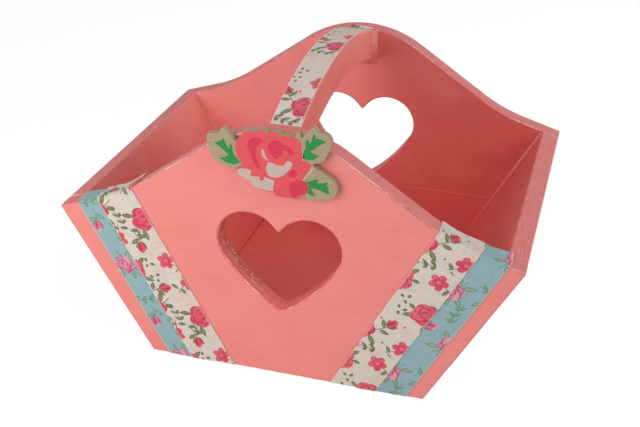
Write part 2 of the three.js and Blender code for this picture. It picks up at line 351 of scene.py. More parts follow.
@dataclass(frozen=True)
class CoralPaint:
    """Brushed coral paint on plywood: smooth on faces, streaky or crumbly on edges, pale on filler.

    Rim, left and rear are places in the basket, in metres, where the painted light and shade inside
    start and end to change, and torn is where the cut wall starts to crumble. Ply, core and streak_to
    are in millimetres across a board.
    """

    grain: Grain
    body: Colour = screen(238, 135, 127)
    # pale: brush streaks, thin patches and filler, and inside also painted light on the upper left
    pale: Colour = screen(246, 165, 156)
    deep: Colour = screen(230, 112, 104)
    # warm: the colour of the cut walls, and inside also painted shade, deeper below and on the right
    warm: Colour = screen(233, 107, 101)
    dull: Colour = screen(216, 112, 110)
    # bare: rubbed-through paint, nibs, specks and crumbs, and on the arrises also a painted highlight
    bare: Colour = screen(250, 208, 196)
    # dark: pits, ply lines, saw marks and crumbs, and inside also painted shade on the left in front
    dark: Colour = screen(172, 74, 76)
    wood: Colour = screen(214, 150, 104)
    # painted light: a bright coat in the rear left of the inside
    painted_light: Colour = screen(255, 160, 153)
    rim: float = 120 * mm
    left: tuple[float, float] = (35 * mm, -50 * mm)
    rear: tuple[float, float] = (-20 * mm, 60 * mm)
    ply: float = 1.8
    core: tuple[float, float] = (66.6, 70.8)
    streak_to: float = 72.6
    torn: tuple[float, float] = (-8.5 * mm, -13 * mm)

    def material(self) -> bpy.types.Material:
        """The finish for this side of a board."""
        graph = Graph(f"coral_paint_{self.grain.name.lower()}")
        place = graph.place()
        makers = {
            Grain.FACE: self.face,
            Grain.EDGE: self.edge,
            Grain.CUT: self.cut,
            Grain.INSIDE: self.inside,
            Grain.FILLER: self.filler,
        }
        colour, roughness, height, relief = makers[self.grain](graph, place)
        drift = graph.noise(place * (0.035, 0.05, 1), 2)
        colour = graph.mix(drift.ramp(0.35, 0.75) * 0.3, colour, self.deep)
        chips = graph.noise(place * (0.3, 0.3, 1), 5, 0.6) * 0.8
        stretch = graph.noise(place * (0.03, 0.03, 1), 1) * 0.7
        # worn arrises show the bare colour: chipped paint, and partly a painted highlight along the
        # rounded arrises
        worn = (graph.attribute(ARRIS) * (chips + stretch)).ramp(0.58, 0.78)
        colour = graph.mix(worn * 0.9, colour, self.bare)
        return graph.finish(colour, roughness, height - worn * 0.3, relief)

    def face(self, graph: Graph, place: Place) -> tuple[Paint, Value, Value, float]:
        """Brush lines along the grain, with a few nibs of dust."""
        streak = graph.noise(place * (0.045, 1.6, 1), 4, 0.2)
        hair = graph.noise(place * (0.12, 4.5, 1), 2)
        nibs = graph.specks(place * (0.2, 0.2, 1), 0.05, 0.3)
        pits = graph.specks(place * (0.31, 0.31, 1) + (7.3, 2.1, 0), 0.045, 0.18)
        colour = graph.mix(streak.ramp(0.35, 0.75) * 0.24, self.body, self.pale)
        colour = graph.mix(hair.ramp(0.6, 0.85) * 0.2, colour, self.bare)
        colour = graph.mix(nibs * 0.35, colour, self.bare)
        colour = graph.mix(pits * 0.45, colour, self.dark)
        height = streak * 0.6 + hair * 0.3 + nibs * 0.6 - pits * 0.6
        return colour, streak * 0.22 + 0.36, height, 0.06 * mm

    def inside(self, graph: Graph, place: Place) -> tuple[Paint, Value, Value, float]:
        """An uneven coat with painted light and shade: deeper and warmer below and on the right, paler
        on the upper left and in the rear left, darker on the left in front.
        """
        right, back, up = graph.position()
        sunk = up.ramp(self.rim, 0.0)
        left, rear = right.ramp(*self.left), back.ramp(*self.rear)
        # painted shade: the blotches grow deeper towards the bottom and on the right
        blotch_and_shade = graph.noise(place * (0.02, 0.03, 1), 2, 0.4) + sunk * 0.5 + (1 - left) * 0.2
        patch = graph.noise(place * (0.05, 0.07, 1) + (3.7, 9.1, 0), 2, 0.3)
        streak = graph.noise(place * (0.025, 0.8, 1), 4, 0.2)
        colour = graph.mix(blotch_and_shade.ramp(0.5, 0.85) * 0.75, self.body, self.warm)
        # thin patches of coat at random, and painted light that pales the upper left
        thin = patch.ramp(0.4, 0.8) * 0.2 + sunk.ramp(0.5, 0.1) * left * 0.3
        colour = graph.mix(thin, colour, self.pale)
        colour = graph.mix(streak.ramp(0.56, 0.78) * 0.25, colour, self.pale)
        # painted light: a bright coat in the rear left, above the lower part
        colour = graph.mix(left * rear * sunk.ramp(0.75, 0.4) * 0.95, colour, self.painted_light)
        # painted shade: darker on the left in front, where the front panel shades the inside
        colour = graph.mix(left * (1 - rear) * 0.32, colour, self.dark)
        height = streak * 0.7 + patch * 0.3
        return colour, streak * 0.2 + 0.36, height, 0.08 * mm

    def filler(self, graph: Graph, place: Place) -> tuple[Paint, Value, Value, float]:
        """A thick, pale coat over a bead of filler."""
        streak = graph.noise(place * (0.06, 0.5, 1), 3, 0.3)
        colour = graph.mix(streak.ramp(0.3, 0.75) * 0.5, self.body, self.pale)
        return colour, streak * 0.2 + 0.36, streak, 0.08 * mm

    def edge(self, graph: Graph, place: Place) -> tuple[Paint, Value, Value, float]:
        """Streaks along the plies under a thin, dull coat with flecks."""
        across = place.parts()[1]
        streak = graph.noise(place * (0.09, 2.2, 1), 4, 0.3)
        fleck = graph.noise(place * (1.0, 2.6, 1), 3)
        specks = graph.specks(place * (0.55, 1.1, 1), 0.16, 0.3)
        line = abs((across * (math.pi / self.ply)).sine()).ramp(0.35, 0.0)
        colour = graph.mix(streak.ramp(0.4, 0.75) * 0.5, self.dull, self.pale)
        colour = graph.mix(line * 0.2, colour, self.dark)
        colour = graph.mix(fleck.ramp(0.46, 0.3) * 0.3, colour, self.dark)
        colour = graph.mix(fleck.ramp(0.58, 0.76) * 0.4, colour, self.bare)
        colour = graph.mix(specks * 0.75, colour, self.bare)
        height = streak * 0.5 + fleck * 0.5 + specks * 0.4 - line * 0.3
        return colour, fleck * 0.25 + 0.45, height, 0.16 * mm

    def cut(self, graph: Graph, place: Place) -> tuple[Paint, Value, Value, float]:
        """A smooth outer ply, a bare streak behind it and a crumbly core towards the inside."""
        across = place.parts()[1]
        saw = graph.noise(place * (1.1, 0.12, 1), 3)
        crumb = graph.noise(place * (0.8, 1.2, 1), 4, 0.6)
        drift = graph.noise(place * (0.09, 0.2, 1), 2)
        torn = graph.position()[0].ramp(*self.torn)
        depth = abs(across) + (drift - 0.5) * 2.4
        inner, outer = self.core
        core = depth.ramp(outer + 0.5, outer - 0.5) * depth.ramp(inner - 0.4, inner + 0.4)
        streak = depth.ramp(outer - 0.3, outer + 0.4) * depth.ramp(self.streak_to, self.streak_to - 1)
        pits = crumb.ramp(0.46, 0.34) * core * torn
        crumbs = crumb.ramp(0.53, 0.62) * core * torn
        colour = graph.mix(saw.ramp(0.35, 0.7) * 0.35, self.warm, self.dark)
        colour = graph.mix(streak * drift.ramp(0.4, 0.6) * 0.6, colour, self.wood)
        colour = graph.mix(core * 0.2, colour, self.dark)
        colour = graph.mix(pits * 0.9, colour, self.dark)
        colour = graph.mix(crumbs * 0.9, colour, self.bare)
        height = saw * 0.25 + crumbs - pits
        return colour, crumb * 0.2 + 0.45, height, 0.35 * mm


@dataclass(frozen=True)
class RoseWood:
    """Bare sanded plywood of the rose cut-out."""

    body: Colour = screen(166, 149, 117)
    dark: Colour = screen(144, 125, 94)
    pale: Colour = screen(189, 174, 142)

    def material(self) -> bpy.types.Material:
        """The finish, with fine grain and pores."""
        graph = Graph("rose_wood")
        place = graph.place()
        grain = graph.noise(place * (0.16, 1.3, 1), 4, 0.4)
        pores = graph.noise(place * (0.6, 5.0, 1), 2)
        colour = graph.mix(grain.ramp(0.3, 0.7), self.dark, self.pale)
        colour = graph.mix(0.72, colour, self.body)
        colour = graph.mix(pores.ramp(0.62, 0.75) * 0.25, colour, self.dark)
        return graph.finish(colour, grain * 0.2 + 0.6, grain * 0.4 + pores * 0.6, 0.08 * mm)


@dataclass(frozen=True)
class PrintInk:
    """A flat printed colour that lets a little of the wood's grain through."""

    name: str
    body: Colour
    worn: Colour

    def material(self) -> bpy.types.Material:
        """The finish of this ink."""
        graph = Graph(f"{self.name}_ink")
        place = graph.place()
        grain = graph.noise(place * (0.2, 1.6, 1), 4)
        gaps = graph.noise(place * (2.4, 4.0, 1), 3)
        colour = graph.mix(grain.ramp(0.35, 0.75) * 0.35, self.body, self.worn)
        colour = graph.mix(gaps.ramp(0.68, 0.8) * 0.5, colour, self.worn)
        return graph.finish(colour, gaps * 0.2 + 0.5, grain * 0.5 + gaps * 0.5, 0.05 * mm)


@dataclass(frozen=True)
class BradSteel:
    """Bright drawn wire."""

    bright: Colour = (0.62, 0.62, 0.63)
    dull: Colour = (0.42, 0.42, 0.43)

    def material(self) -> bpy.types.Material:
        """The finish, with draw marks along the wire."""
        graph = Graph("brad_steel")
        made = graph.node("ShaderNodeNewGeometry", {}, {})
        place = Place(graph, made.outputs["Position"]) * (2500, 150, 2500)
        marks = graph.noise(place, 3)
        colour = graph.mix(marks, self.dull, self.bright)
        return graph.finish(colour, marks * 0.2 + 0.25, marks, 0.01 * mm, {"Metallic": 1.0})


@dataclass(frozen=True)
class Spot:
    """Where a motif of a print sits: millimetres across and along the cloth, turn in degrees."""

    across: float
    along: float
    turn: float = 0.0


@dataclass(frozen=True)
class PrintColours:
    """The colours of a floral print."""

    ground: Colour
    blush: Colour
    flower: Colour
    shade: Colour
    light: Colour
    leaf: Colour
    vein: Colour


@dataclass(frozen=True)
class FloralCotton:
    """Plain-woven cotton with a small print of roses, blossoms, buds, sprigs, leaves and dots."""

    name: str
    colours: PrintColours
    repeat: tuple[float, float]
    roses: tuple[Spot, ...] = ()
    blossoms: tuple[Spot, ...] = ()
    buds: tuple[Spot, ...] = ()
    sprigs: tuple[Spot, ...] = ()
    leaf_trios: tuple[Spot, ...] = ()
    dots: tuple[Spot, ...] = ()
    rose_radius: float = 6.4
    blossom_radius: float = 4.6
    bud_size: tuple[float, float] = (2.1, 3.0)
    sprig_length: float = 11.0
    weave: float = 0.62
    blush_share: float = 0.6
    hem: Colour = screen(242, 238, 226)

    def material(self) -> bpy.types.Material:
        """The printed cloth."""
        graph = Graph(self.name)
        place = graph.place()
        ink = self.colours
        blush = graph.noise(place * (0.12, 0.1, 1), 1).ramp(0.5, 0.68)
        colour = graph.mix(blush * self.blush_share, ink.ground, ink.blush)
        layers = (
            (self.sprigs, self.sprig),
            (self.leaf_trios, self.leaf_trio),
            (self.buds, self.bud),
            (self.blossoms, self.blossom),
            (self.roses, self.rose),
            (self.dots, self.dot),
        )
        wander = graph.noise(place * (0.9, 0.9, 1), 2) - 0.5
        for spots, draw in layers:
            if spots:
                colour = draw(graph, self.nearest(graph, place, spots), wander, colour)
        return self.woven(graph, place, colour)

    def plain(self) -> "FloralCotton":
        """The same cotton without its print."""
        bare = {name: () for name in ("roses", "blossoms", "buds", "sprigs", "leaf_trios", "dots")}
        return replace(self, name=self.name + "_thread", **bare)

    def woven(self, graph: Graph, place: Place, colour: Paint) -> bpy.types.Material:
        """Add the threads under a printed colour.

        Args:
            graph: the material's nodes.
            place: the place on the cloth.
            colour: the print.

        Returns:
            The finished material.
        """
        across, along = place.parts()
        pitch = 2 * math.pi / self.weave
        weave = (across * pitch).sine() * (along * pitch).sine() * 0.5 + 0.5
        warp = graph.noise(place * (2.2, 0.08, 1), 3).ramp(0.46, 0.3)
        weft = graph.noise(place * (0.08, 2.2, 1) + (5.1, 0, 0), 3).ramp(0.46, 0.3)
        gaps = warp.math("MAXIMUM", weft)
        threads = weave * 0.6 - gaps * 0.6 + 0.4
        shaded = graph.node(
            "ShaderNodeMix",
            {"data_type": "RGBA", "blend_type": "MULTIPLY"},
            {0: gaps * 0.14 - weave * 0.1 + 0.1, 6: colour, 7: self.colours.vein},
        )
        hem = graph.attribute(ARRIS).ramp(0.3, 0.7)
        hemmed = graph.mix(hem * 0.4, shaded.outputs[2], self.hem)
        fixed = {"Sheen Weight": 0.15, "Sheen Roughness": 0.5, "Specular IOR Level": 0.2}
        return graph.finish(hemmed, weave * 0.1 + 0.82, threads, 0.12 * mm, fixed)

    def nearest(self, graph: Graph, place: Place, spots: Sequence[Spot]) -> Place:
        """The place measured from the closest of a motif's spots.

        Args:
            graph: the material's nodes.
            place: the place on the cloth.
            spots: where the motif sits in the repeat.

        Returns:
            The place in the motif's own millimetres.
        """
        chosen: Optional[Place] = None
        least: Optional[Value] = None
        for spot in spots:
            local = (place - (spot.across, spot.along, 0)).repeated(self.repeat).turned(-spot.turn)
            reach = local.length()
            if chosen is None or least is None:
                chosen, least = local, reach
            else:
                chosen = graph.choose(reach < least, chosen, local)
                least = least.math("MINIMUM", reach)
        return chosen

    def leaf(
        self, local: Place, stalk: tuple[float, float], turn: float, size: tuple[float, float]
    ) -> Value:
        """One leaf of a motif.

        Args:
            local: the place in the motif.
            stalk: where the leaf starts.
            turn: the leaf's direction in degrees.
            size: its length and its breadth.

        Returns:
            Above 0 inside the leaf: the distance to its side.
        """
        x, y = (local - (*stalk, 0)).turned(-turn).parts()
        share = x / size[0]
        return share * (1 - share) * (2 * size[1]) - abs(y)

    def leaves(
        self, local: Place, drawn: Sequence[tuple[float, float, float, float, float]]
    ) -> Value:
        """Several leaves together: each has its stalk's place, its turn, length and breadth."""
        inside: Optional[Value] = None
        for across, along, turn, length, breadth in drawn:
            one = self.leaf(local, (across, along), turn, (length, breadth))
            inside = one if inside is None else inside.math("MAXIMUM", one)
        return inside

    def foliage(self, graph: Graph, inside: Value, wander: Value, under: Paint) -> Paint:
        """Leaves with a dark rim and a paler, streaky middle, over what is under them."""
        ink = self.colours
        pale = (inside + wander * 1.3).ramp(0.2, 0.75)
        green = graph.mix(pale, ink.vein, ink.leaf)
        return graph.mix((inside + wander * 0.2).ramp(0.0, 0.2), under, green)

    def stem(self, bend: Value, inside: Value) -> Value:
        """A thin line where bend is near 0, as long as inside is above 0."""
        return (0.28 - abs(bend)).math("MINIMUM", inside)

    def rose(self, graph: Graph, local: Place, wander: Value, under: Paint) -> Paint:
        """A full rose of folded petals, on a stem with leaves."""
        ink = self.colours
        radius = self.rose_radius
        x, y = local.parts()
        leaves = self.leaves(local, (
            (1.0, -radius * 0.8, -40, 6.8, 2.6),
            (radius * 0.7, 1.2, 24, 5.6, 2.4),
            (-radius * 0.7, -1.0, 205, 6.6, 2.5),
            (radius * 0.45, radius * 0.65, 70, 4.2, 2.0),
            (-0.6, -radius * 1.05, 220, 4.2, 2.0),
        ))
        stem = self.stem(x - y * y * 0.018 + 0.6, (-y - 2.0).math("MINIMUM", y + radius * 1.75))
        colour = self.foliage(graph, leaves.math("MAXIMUM", stem), wander, under)
        reach = local.length()
        angle = y.math("ARCTAN2", x)
        petals = graph.mix((y + x * 0.6 + wander * 3).ramp(-3.5, 4.5) * 0.55, ink.flower, ink.light)
        for ring, lobes, shift in ((0.24, 2, 0.4), (0.5, 3, 2.1), (0.76, 5, 1.2)):
            fold = (angle * lobes + shift).sine()
            edge = reach - (fold * 0.16 + 1) * (radius * ring) + wander * 0.9
            broken = (angle * (lobes - 1) + shift * 2.3).sine().ramp(-0.75, -0.1)
            shade = edge.ramp(1.3, 0.2) * edge.ramp(-0.35, 0.1) * broken
            petals = graph.mix(shade * 0.85, petals, ink.shade)
            petals = graph.mix(edge.ramp(-1.0, -0.45) * edge.ramp(0.1, -0.4) * 0.45, petals, ink.light)
        frill = abs((angle * 2.5 + 0.7).sine()) * 0.17 + (angle * 3 + 1).sine() * 0.05 + 0.86
        rim = frill * radius + wander * 0.8 - reach
        petals = graph.mix(rim.ramp(0.55, 0.1) * 0.45, petals, ink.shade)
        return graph.mix(rim.ramp(0.0, 0.2), colour, petals)

    def blossom(self, graph: Graph, local: Place, wander: Value, under: Paint) -> Paint:
        """A flat blossom of five round petals on a stem."""
        ink = self.colours
        radius = self.blossom_radius
        x, y = local.parts()
        leaves = self.leaves(local, (
            (0.4, -radius * 1.5, 205, 4.4, 2.1),
            (0.6, -radius * 1.3, 10, 4.0, 2.0),
        ))
        stem = self.stem(x - y * y * 0.03, (-y - 1.5).math("MINIMUM", y + radius * 1.9))
        colour = self.foliage(graph, leaves.math("MAXIMUM", stem), wander, under)
        reach = local.length()
        angle = y.math("ARCTAN2", x)
        lobe = abs((angle * 2.5).sine()).math("POWER", 0.6)
        edge = lobe * (radius * 0.46) + radius * 0.54 + wander * 0.7 - reach
        rays = (angle * 10 + wander * 3).sine().ramp(0.2, 0.8) * (reach - radius * 0.6).ramp(0.5, -1.4)
        parting = lobe.ramp(0.5, 0.2) * (reach - radius * 0.25).ramp(0.0, 0.6)
        petals = graph.mix((y + wander * 3).ramp(-2.5, 3.5) * 0.5, ink.flower, ink.light)
        petals = graph.mix(rays.math("MAXIMUM", parting) * 0.85, petals, ink.shade)
        petals = graph.mix((reach - radius * 0.16).ramp(0.3, 0.0), petals, ink.light)
        petals = graph.mix(edge.ramp(0.5, 0.1) * 0.35, petals, ink.shade)
        return graph.mix(edge.ramp(0.0, 0.2), colour, petals)

    def bud(self, graph: Graph, local: Place, wander: Value, under: Paint) -> Paint:
        """A closed bud on a bent stem with leaves."""
        ink = self.colours
        x, y = local.parts()
        stem = self.stem(x - y * y * 0.03, (-y - 1.0).math("MINIMUM", y + 9.5))
        leaves = self.leaves(local, (
            (0.6, -5.0, 40, 5.2, 2.3),
            (1.2, -7.2, 160, 5.0, 2.2),
            (0.0, -3.6, 122, 5.2, 2.0),
            (0.0, -3.6, 58, 5.2, 2.0),
        ))
        colour = self.foliage(graph, leaves.math("MAXIMUM", stem), wander, under)
        cup = (local * (1 / self.bud_size[0], 1 / self.bud_size[1], 1)).length()
        stripe = (x * 2.2 + y * 0.6 + wander * 3).sine().ramp(0.1, 0.7)
        petals = graph.mix(stripe * 0.85, ink.flower, ink.shade)
        petals = graph.mix((y - x * 0.8 - 0.8).ramp(0.0, 1.8) * 0.7, petals, ink.light)
        return graph.mix((wander * 0.3 + 1.0 - cup).ramp(0.0, 0.09), colour, petals)

    def sprig(self, graph: Graph, local: Place, wander: Value, under: Paint) -> Paint:
        """A bent stem with pairs of small leaves."""
        x, y = local.parts()
        bend = y - x * x * 0.035
        inside = (x + 0.1).math("MINIMUM", self.sprig_length - x)
        pitch = self.sprig_length / 3
        step = x.math("WRAP", pitch, 0.0)
        pair = graph.node("ShaderNodeCombineXYZ", {}, {0: step, 1: abs(bend), 2: 0.0})
        leaves = self.leaf(Place(graph, pair.outputs[0]), (0.2, 0.1), 44, (3.2, 1.6))
        leaves = leaves.math("MINIMUM", inside)
        return self.foliage(graph, leaves.math("MAXIMUM", self.stem(bend, inside)), wander, under)

    def leaf_trio(self, graph: Graph, local: Place, wander: Value, under: Paint) -> Paint:
        """Three loose leaves."""
        inside = self.leaves(local, (
            (0.6, 0.0, 20, 2.8, 1.9), (-0.8, -0.6, 130, 2.6, 1.8), (0.2, -1.2, 285, 2.4, 1.7),
        ))
        return self.foliage(graph, inside - 0.1, wander, under)

    def dot(self, graph: Graph, local: Place, wander: Value, under: Paint) -> Paint:
        """A small round dot."""
        inside = wander * 0.4 + 0.6 - local.length()
        return graph.mix(inside.ramp(0.0, 0.15), under, self.colours.shade)


def face_loops(node: str, axis: int, low: bool, slant: float = 0.0) -> list[Loop]:
    """Trace the outlines of the flat end of a CAD node.

    Args:
        node: the node's name.
        axis: the axis that the end is square to.
        low: True for the end at the low side of that axis.
        slant: how far the node drifts along X for each metre along Y, which is taken off first.

    Returns:
        The closed lines in the other two axes, the longest way round first.
    """
    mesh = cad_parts[node].data
    mesh.calc_loop_triangles()
    places = np.array([vertex.co for vertex in mesh.vertices])
    places[:, 0] -= slant * places[:, 1]
    level = places[:, axis].min() if low else places[:, axis].max()
    on_face = np.abs(places[:, axis] - level) < FLAT
    others = [number for number in range(3) if number != axis]
    keys = [tuple(np.round(place[others], SAME_DIGITS)) for place in places]
    edges: dict = {}
    for triangle in mesh.loop_triangles:
        corners = list(triangle.vertices)
        if not all(on_face[corner] for corner in corners):
            continue
        for start, end in zip(corners, corners[1:] + corners[:1]):
            if edges.pop((keys[end], keys[start]), None) is None:
                edges[(keys[start], keys[end])] = True
    follow = {start: end for start, end in edges}
    loops = []
    while follow:
        start, here = follow.popitem()
        loop = [start]
        while here != start:
            loop.append(here)
            here = follow.pop(here)
        loops.append(np.array(loop))
    return sorted(loops, key=lambda loop: -abs(area_of(loop)))


def area_of(loop: Loop) -> float:
    """The signed area inside a closed line, above 0 if it runs anticlockwise."""
    x, y = loop[:, 0], loop[:, 1]
    return float((x * np.roll(y, -1) - y * np.roll(x, -1)).sum() / 2)


def smooth_loop(points: Sequence[tuple[float, float]], steps: int = 6) -> Loop:
    """A smooth closed curve through a few points.

    Args:
        points: the points in order.
        steps: how many short lines stand for the stretch between two points.

    Returns:
        The closed line.
    """
    given = np.array(points, float)
    before, after, later = np.roll(given, 1, 0), np.roll(given, -1, 0), np.roll(given, -2, 0)
    curve = []
    for share in np.arange(steps) / steps:
        square, cube = share**2, share**3
        curve.append(
            given
            + (after - before) * (share / 2)
            + (before * 2 - given * 5 + after * 4 - later) * (square / 2)
            + (given * 3 - before - after * 3 + later) * (cube / 2)
        )
    return np.stack(curve, 1).reshape(-1, 2)


class HandleEnd:
    """One end of the handle: its tip along Y, its sides along X, its foot and its top."""

    def __init__(self, front: bool) -> None:
        """Measure the front end or the back one."""
        outline = face_loops("handle", 1, front)[0]
        self.left, self.foot = outline.min(0)
        self.right, self.top = outline.max(0)
        self.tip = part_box("handle")[0 if front else 1].y
        self.middle = (self.left + self.right) / 2


def handle_slant() -> float:
    """How far the handle drifts along X for each metre along Y."""
    front, back = HandleEnd(True), HandleEnd(False)
    return (back.middle - front.middle) / (back.tip - front.tip)


@dataclass
class Contour:
    """A closed line with its outward normals. The material lies to the left of the line."""

    points: np.ndarray
    normals: np.ndarray

    @classmethod
    def around(cls, loop: Loop, hole: bool, corner: float, step: float) -> "Contour":
        """Round a line's corners and divide its long stretches.

        Args:
            loop: the closed line.
            hole: True where the material lies outside the line.
            corner: the radius of the rounded corners.
            step: the longest stretch that stays whole.

        Returns:
            The contour.
        """
        if (area_of(loop) > 0) == hole:
            loop = loop[::-1]
        ahead = np.roll(loop, -1, 0) - loop
        spans = np.linalg.norm(ahead, axis=1)
        ahead = ahead / spans[:, None]
        points: list[np.ndarray] = []
        normals: list[np.ndarray] = []
        for index, here in enumerate(loop):
            into, out = ahead[index - 1], ahead[index]
            turn = math.atan2(into[0] * out[1] - into[1] * out[0], float(into @ out))
            if abs(turn) < SHARP:
                middle = into + out
                points.append(here)
                normals.append(np.array((middle[1], -middle[0])) / np.linalg.norm(middle))
                continue
            bend = math.tan(abs(turn) / 2)
            cut = min(corner * bend, CORNER_SHARE * min(spans[index - 1], spans[index]))
            pieces = max(2, math.ceil(abs(turn) / CORNER_PIECE))
            outward = np.array((into[1], -into[0]))
            reach = math.copysign(cut / bend, turn)
            centre = here - into * cut - outward * reach
            for piece in range(pieces + 1):
                angle = turn * piece / pieces
                cosine, sine = math.cos(angle), math.sin(angle)
                normal = np.array((cosine * outward[0] - sine * outward[1],
                                   sine * outward[0] + cosine * outward[1]))
                points.append(centre + normal * reach)
                normals.append(normal)
        return cls(*divide(np.array(points), np.array(normals), step))

    def room(self) -> np.ndarray:
        """The radius of the largest circle inside the material that touches the line at each point."""
        spans = self.points[None, :, :] - self.points[:, None, :]
        inwards = -(spans * self.normals[:, None, :]).sum(2)
        squares = (spans**2).sum(2)
        limits = np.full(squares.shape, np.inf)
        np.divide(squares, 2 * inwards, out=limits, where=inwards > 0)
        return limits.min(1)

    def along(self) -> np.ndarray:
        """The way along the line to each point, with the whole way round at the end."""
        spans = np.linalg.norm(np.roll(self.points, -1, 0) - self.points, axis=1)
        return np.concatenate(((0.0,), np.cumsum(spans)))


def divide(points: np.ndarray, normals: np.ndarray, step: float) -> tuple[np.ndarray, np.ndarray]:
    """Divide the long stretches of a closed line.

    Args:
        points: the line's points.
        normals: their outward normals.
        step: the longest stretch that stays whole.

    Returns:
        The points and normals with the new ones between them.
    """
    placed: list[np.ndarray] = []
    facing: list[np.ndarray] = []
    for index, here in enumerate(points):
        following = (index + 1) % len(points)
        span = points[following] - here
        length = float(np.linalg.norm(span))
        pieces = max(1, math.ceil(length / step))
        for piece in range(pieces):
            share = piece / pieces
            normal = normals[index] * (1 - share) + normals[following] * share
            if length > STRAIGHT and piece:
                normal = np.array((span[1], -span[0]))
            placed.append(here + span * share)
            facing.append(normal / np.linalg.norm(normal))
    return np.array(placed), np.array(facing)


@dataclass
class Board:
    """A flat board cut along contours, with rounded and slightly uneven arrises.

    The waves are those of an uneven arris and of a ragged wall in a millimetre.
    """

    contours: list[Contour]
    axis: int
    low: float
    high: float
    arris: float
    uneven: float = 0.35
    arris_steps: int = 4
    wall_steps: int = 3
    ragged: float = 0.0
    wave: float = 0.25
    ragged_wave: float = 1.6
    room_share: float = 0.8
    cap_slots: tuple[int, int] = (0, 0)
    wall_slot: Optional[Callable[[np.ndarray], int]] = None

    def mesh(self, name: str) -> bpy.types.Mesh:
        """Build the board.

        Args:
            name: the mesh's name.

        Returns:
            A closed mesh. Its walls have slot 1, or 2 in a cut-out, unless wall_slot says otherwise.
        """
        body = bmesh.new()
        grain = body.loops.layers.uv.new(GRAIN)
        arris = body.verts.layers.float.new(ARRIS)
        normals: list[Vector] = []
        low_rings: list[list] = []
        high_rings: list[list] = []
        for number, contour in enumerate(self.contours):
            rings = self.rings(body, contour, number > 0, arris, normals)
            low_rings.append(rings[0])
            high_rings.append(rings[-1])
            self.walls(body, rings, contour, min(number + 1, 2), grain)
        for rings, slot in zip((low_rings, high_rings), self.cap_slots):
            self.cap(body, rings, slot, grain)
        made = closed_mesh(name, body)
        made.normals_split_custom_set_from_vertices(normals)
        return made

    def spot(self, flat: np.ndarray, height: float) -> tuple[float, float, float]:
        """A point of the board from its place in the face and its height along the axis."""
        place = list(flat)
        place.insert(self.axis, height)
        return tuple(place)

    def rings(self, body: bmesh.types.BMesh, contour: Contour, hole: bool,
              arris: object, normals: list) -> list[list]:
        """Lay rings of points round a contour, from the low face to the high one.

        Args:
            body: the mesh in the making.
            contour: the line to follow.
            hole: True for a cut-out, whose wall may be ragged.
            arris: the layer that says how far a point is on the arris.
            normals: the normals of all points so far, which grows.

        Returns:
            The rings.
        """
        profile = [(turn, False) for turn in np.linspace(0, math.pi / 2, self.arris_steps + 1)]
        walls = [(math.pi / 2, None)] * self.wall_steps
        profile = profile + walls + [(turn, True) for turn, _ in reversed(profile)]
        radii = [
            min(self.arris * (1 + self.uneven * roughness_at(point, self.wave)), self.room_share * room)
            for point, room in zip(contour.points, contour.room())
        ]
        rings = []
        wall = 0
        for turn, high in profile:
            ring = []
            if high is None:
                wall += 1
            for point, normal, radius in zip(contour.points, contour.normals, radii):
                inset, depth = radius * (1 - math.sin(turn)), radius * (1 - math.cos(turn))
                height = self.high - depth if high else self.low + depth
                side = 1.0 if high else -1.0
                if high is None:
                    share = wall / (self.wall_steps + 1)
                    height = self.low + radius + (self.high - self.low - 2 * radius) * share
                    if hole:
                        inset -= self.ragged * roughness_at(np.append(point, height), self.ragged_wave)
                flat = point - normal * inset
                vertex = body.verts.new(self.spot(flat, height))
                vertex[arris] = math.sin(2 * turn)
                facing = Vector(self.spot(normal * math.sin(turn), side * math.cos(turn)))
                normals.append(facing.normalized())
                ring.append(vertex)
            rings.append(ring)
        return rings

    def walls(self, body: bmesh.types.BMesh, rings: list[list], contour: Contour,
              slot: int, grain: object) -> None:
        """Join the rings with faces whose grain runs along the contour, or on an edge along the axis."""
        count = len(rings[0])
        along = contour.along()
        slots = [self.wall_slot(normal) if self.wall_slot else slot for normal in contour.normals]
        for ring, following in zip(rings, rings[1:]):
            for index in range(count):
                later = (index + 1) % count
                corners = (ring[index], ring[later], following[later], following[index])
                face = body.faces.new(corners)
                face.smooth = True
                face.material_index = slots[index]
                turned = self.wall_slot and slots[index] == Grain.EDGE.value
                ways = (along[index], along[index + 1], along[index + 1], along[index])
                for loop, way in zip(face.loops, ways):
                    place = (way / mm, loop.vert.co[self.axis] / mm)
                    loop[grain].uv = place[::-1] if turned else place

    def cap(self, body: bmesh.types.BMesh, rings: list[list], slot: int, grain: object) -> None:
        """Close one face of the board, leaving its cut-outs open."""
        others = [number for number in range(3) if number != self.axis]
        flat = [[Vector((v.co[others[0]], v.co[others[1]], 0)) for v in ring] for ring in rings]
        vertices = [vertex for ring in rings for vertex in ring]
        for triple in geometry.tessellate_polygon(flat):
            face = body.faces.new([vertices[index] for index in triple])
            face.smooth = True
            face.material_index = slot
            for loop in face.loops:
                place = loop.vert.co
                loop[grain].uv = (place[others[0]] / mm, place[others[1]] / mm)


def roughness_at(place: np.ndarray, per_mm: float) -> float:
    """Repeatable noise from about -1 to 1 at a place in metres, with that many waves a millimetre."""
    spread = [float(part) / mm * per_mm for part in place]
    return noise.noise(Vector(spread + [NOISE_PHASE] * (3 - len(spread))))


def closed_mesh(name: str, body: bmesh.types.BMesh) -> bpy.types.Mesh:
    """Finish a mesh in the making, with its faces turned outwards.

    Args:
        name: the mesh's name.
        body: the mesh in the making, which is freed.

    Returns:
        The finished mesh.
    """
    bmesh.ops.recalc_face_normals(body, faces=body.faces)
    made = bpy.data.meshes.new(name)
    body.to_mesh(made)
    body.free()
    return made


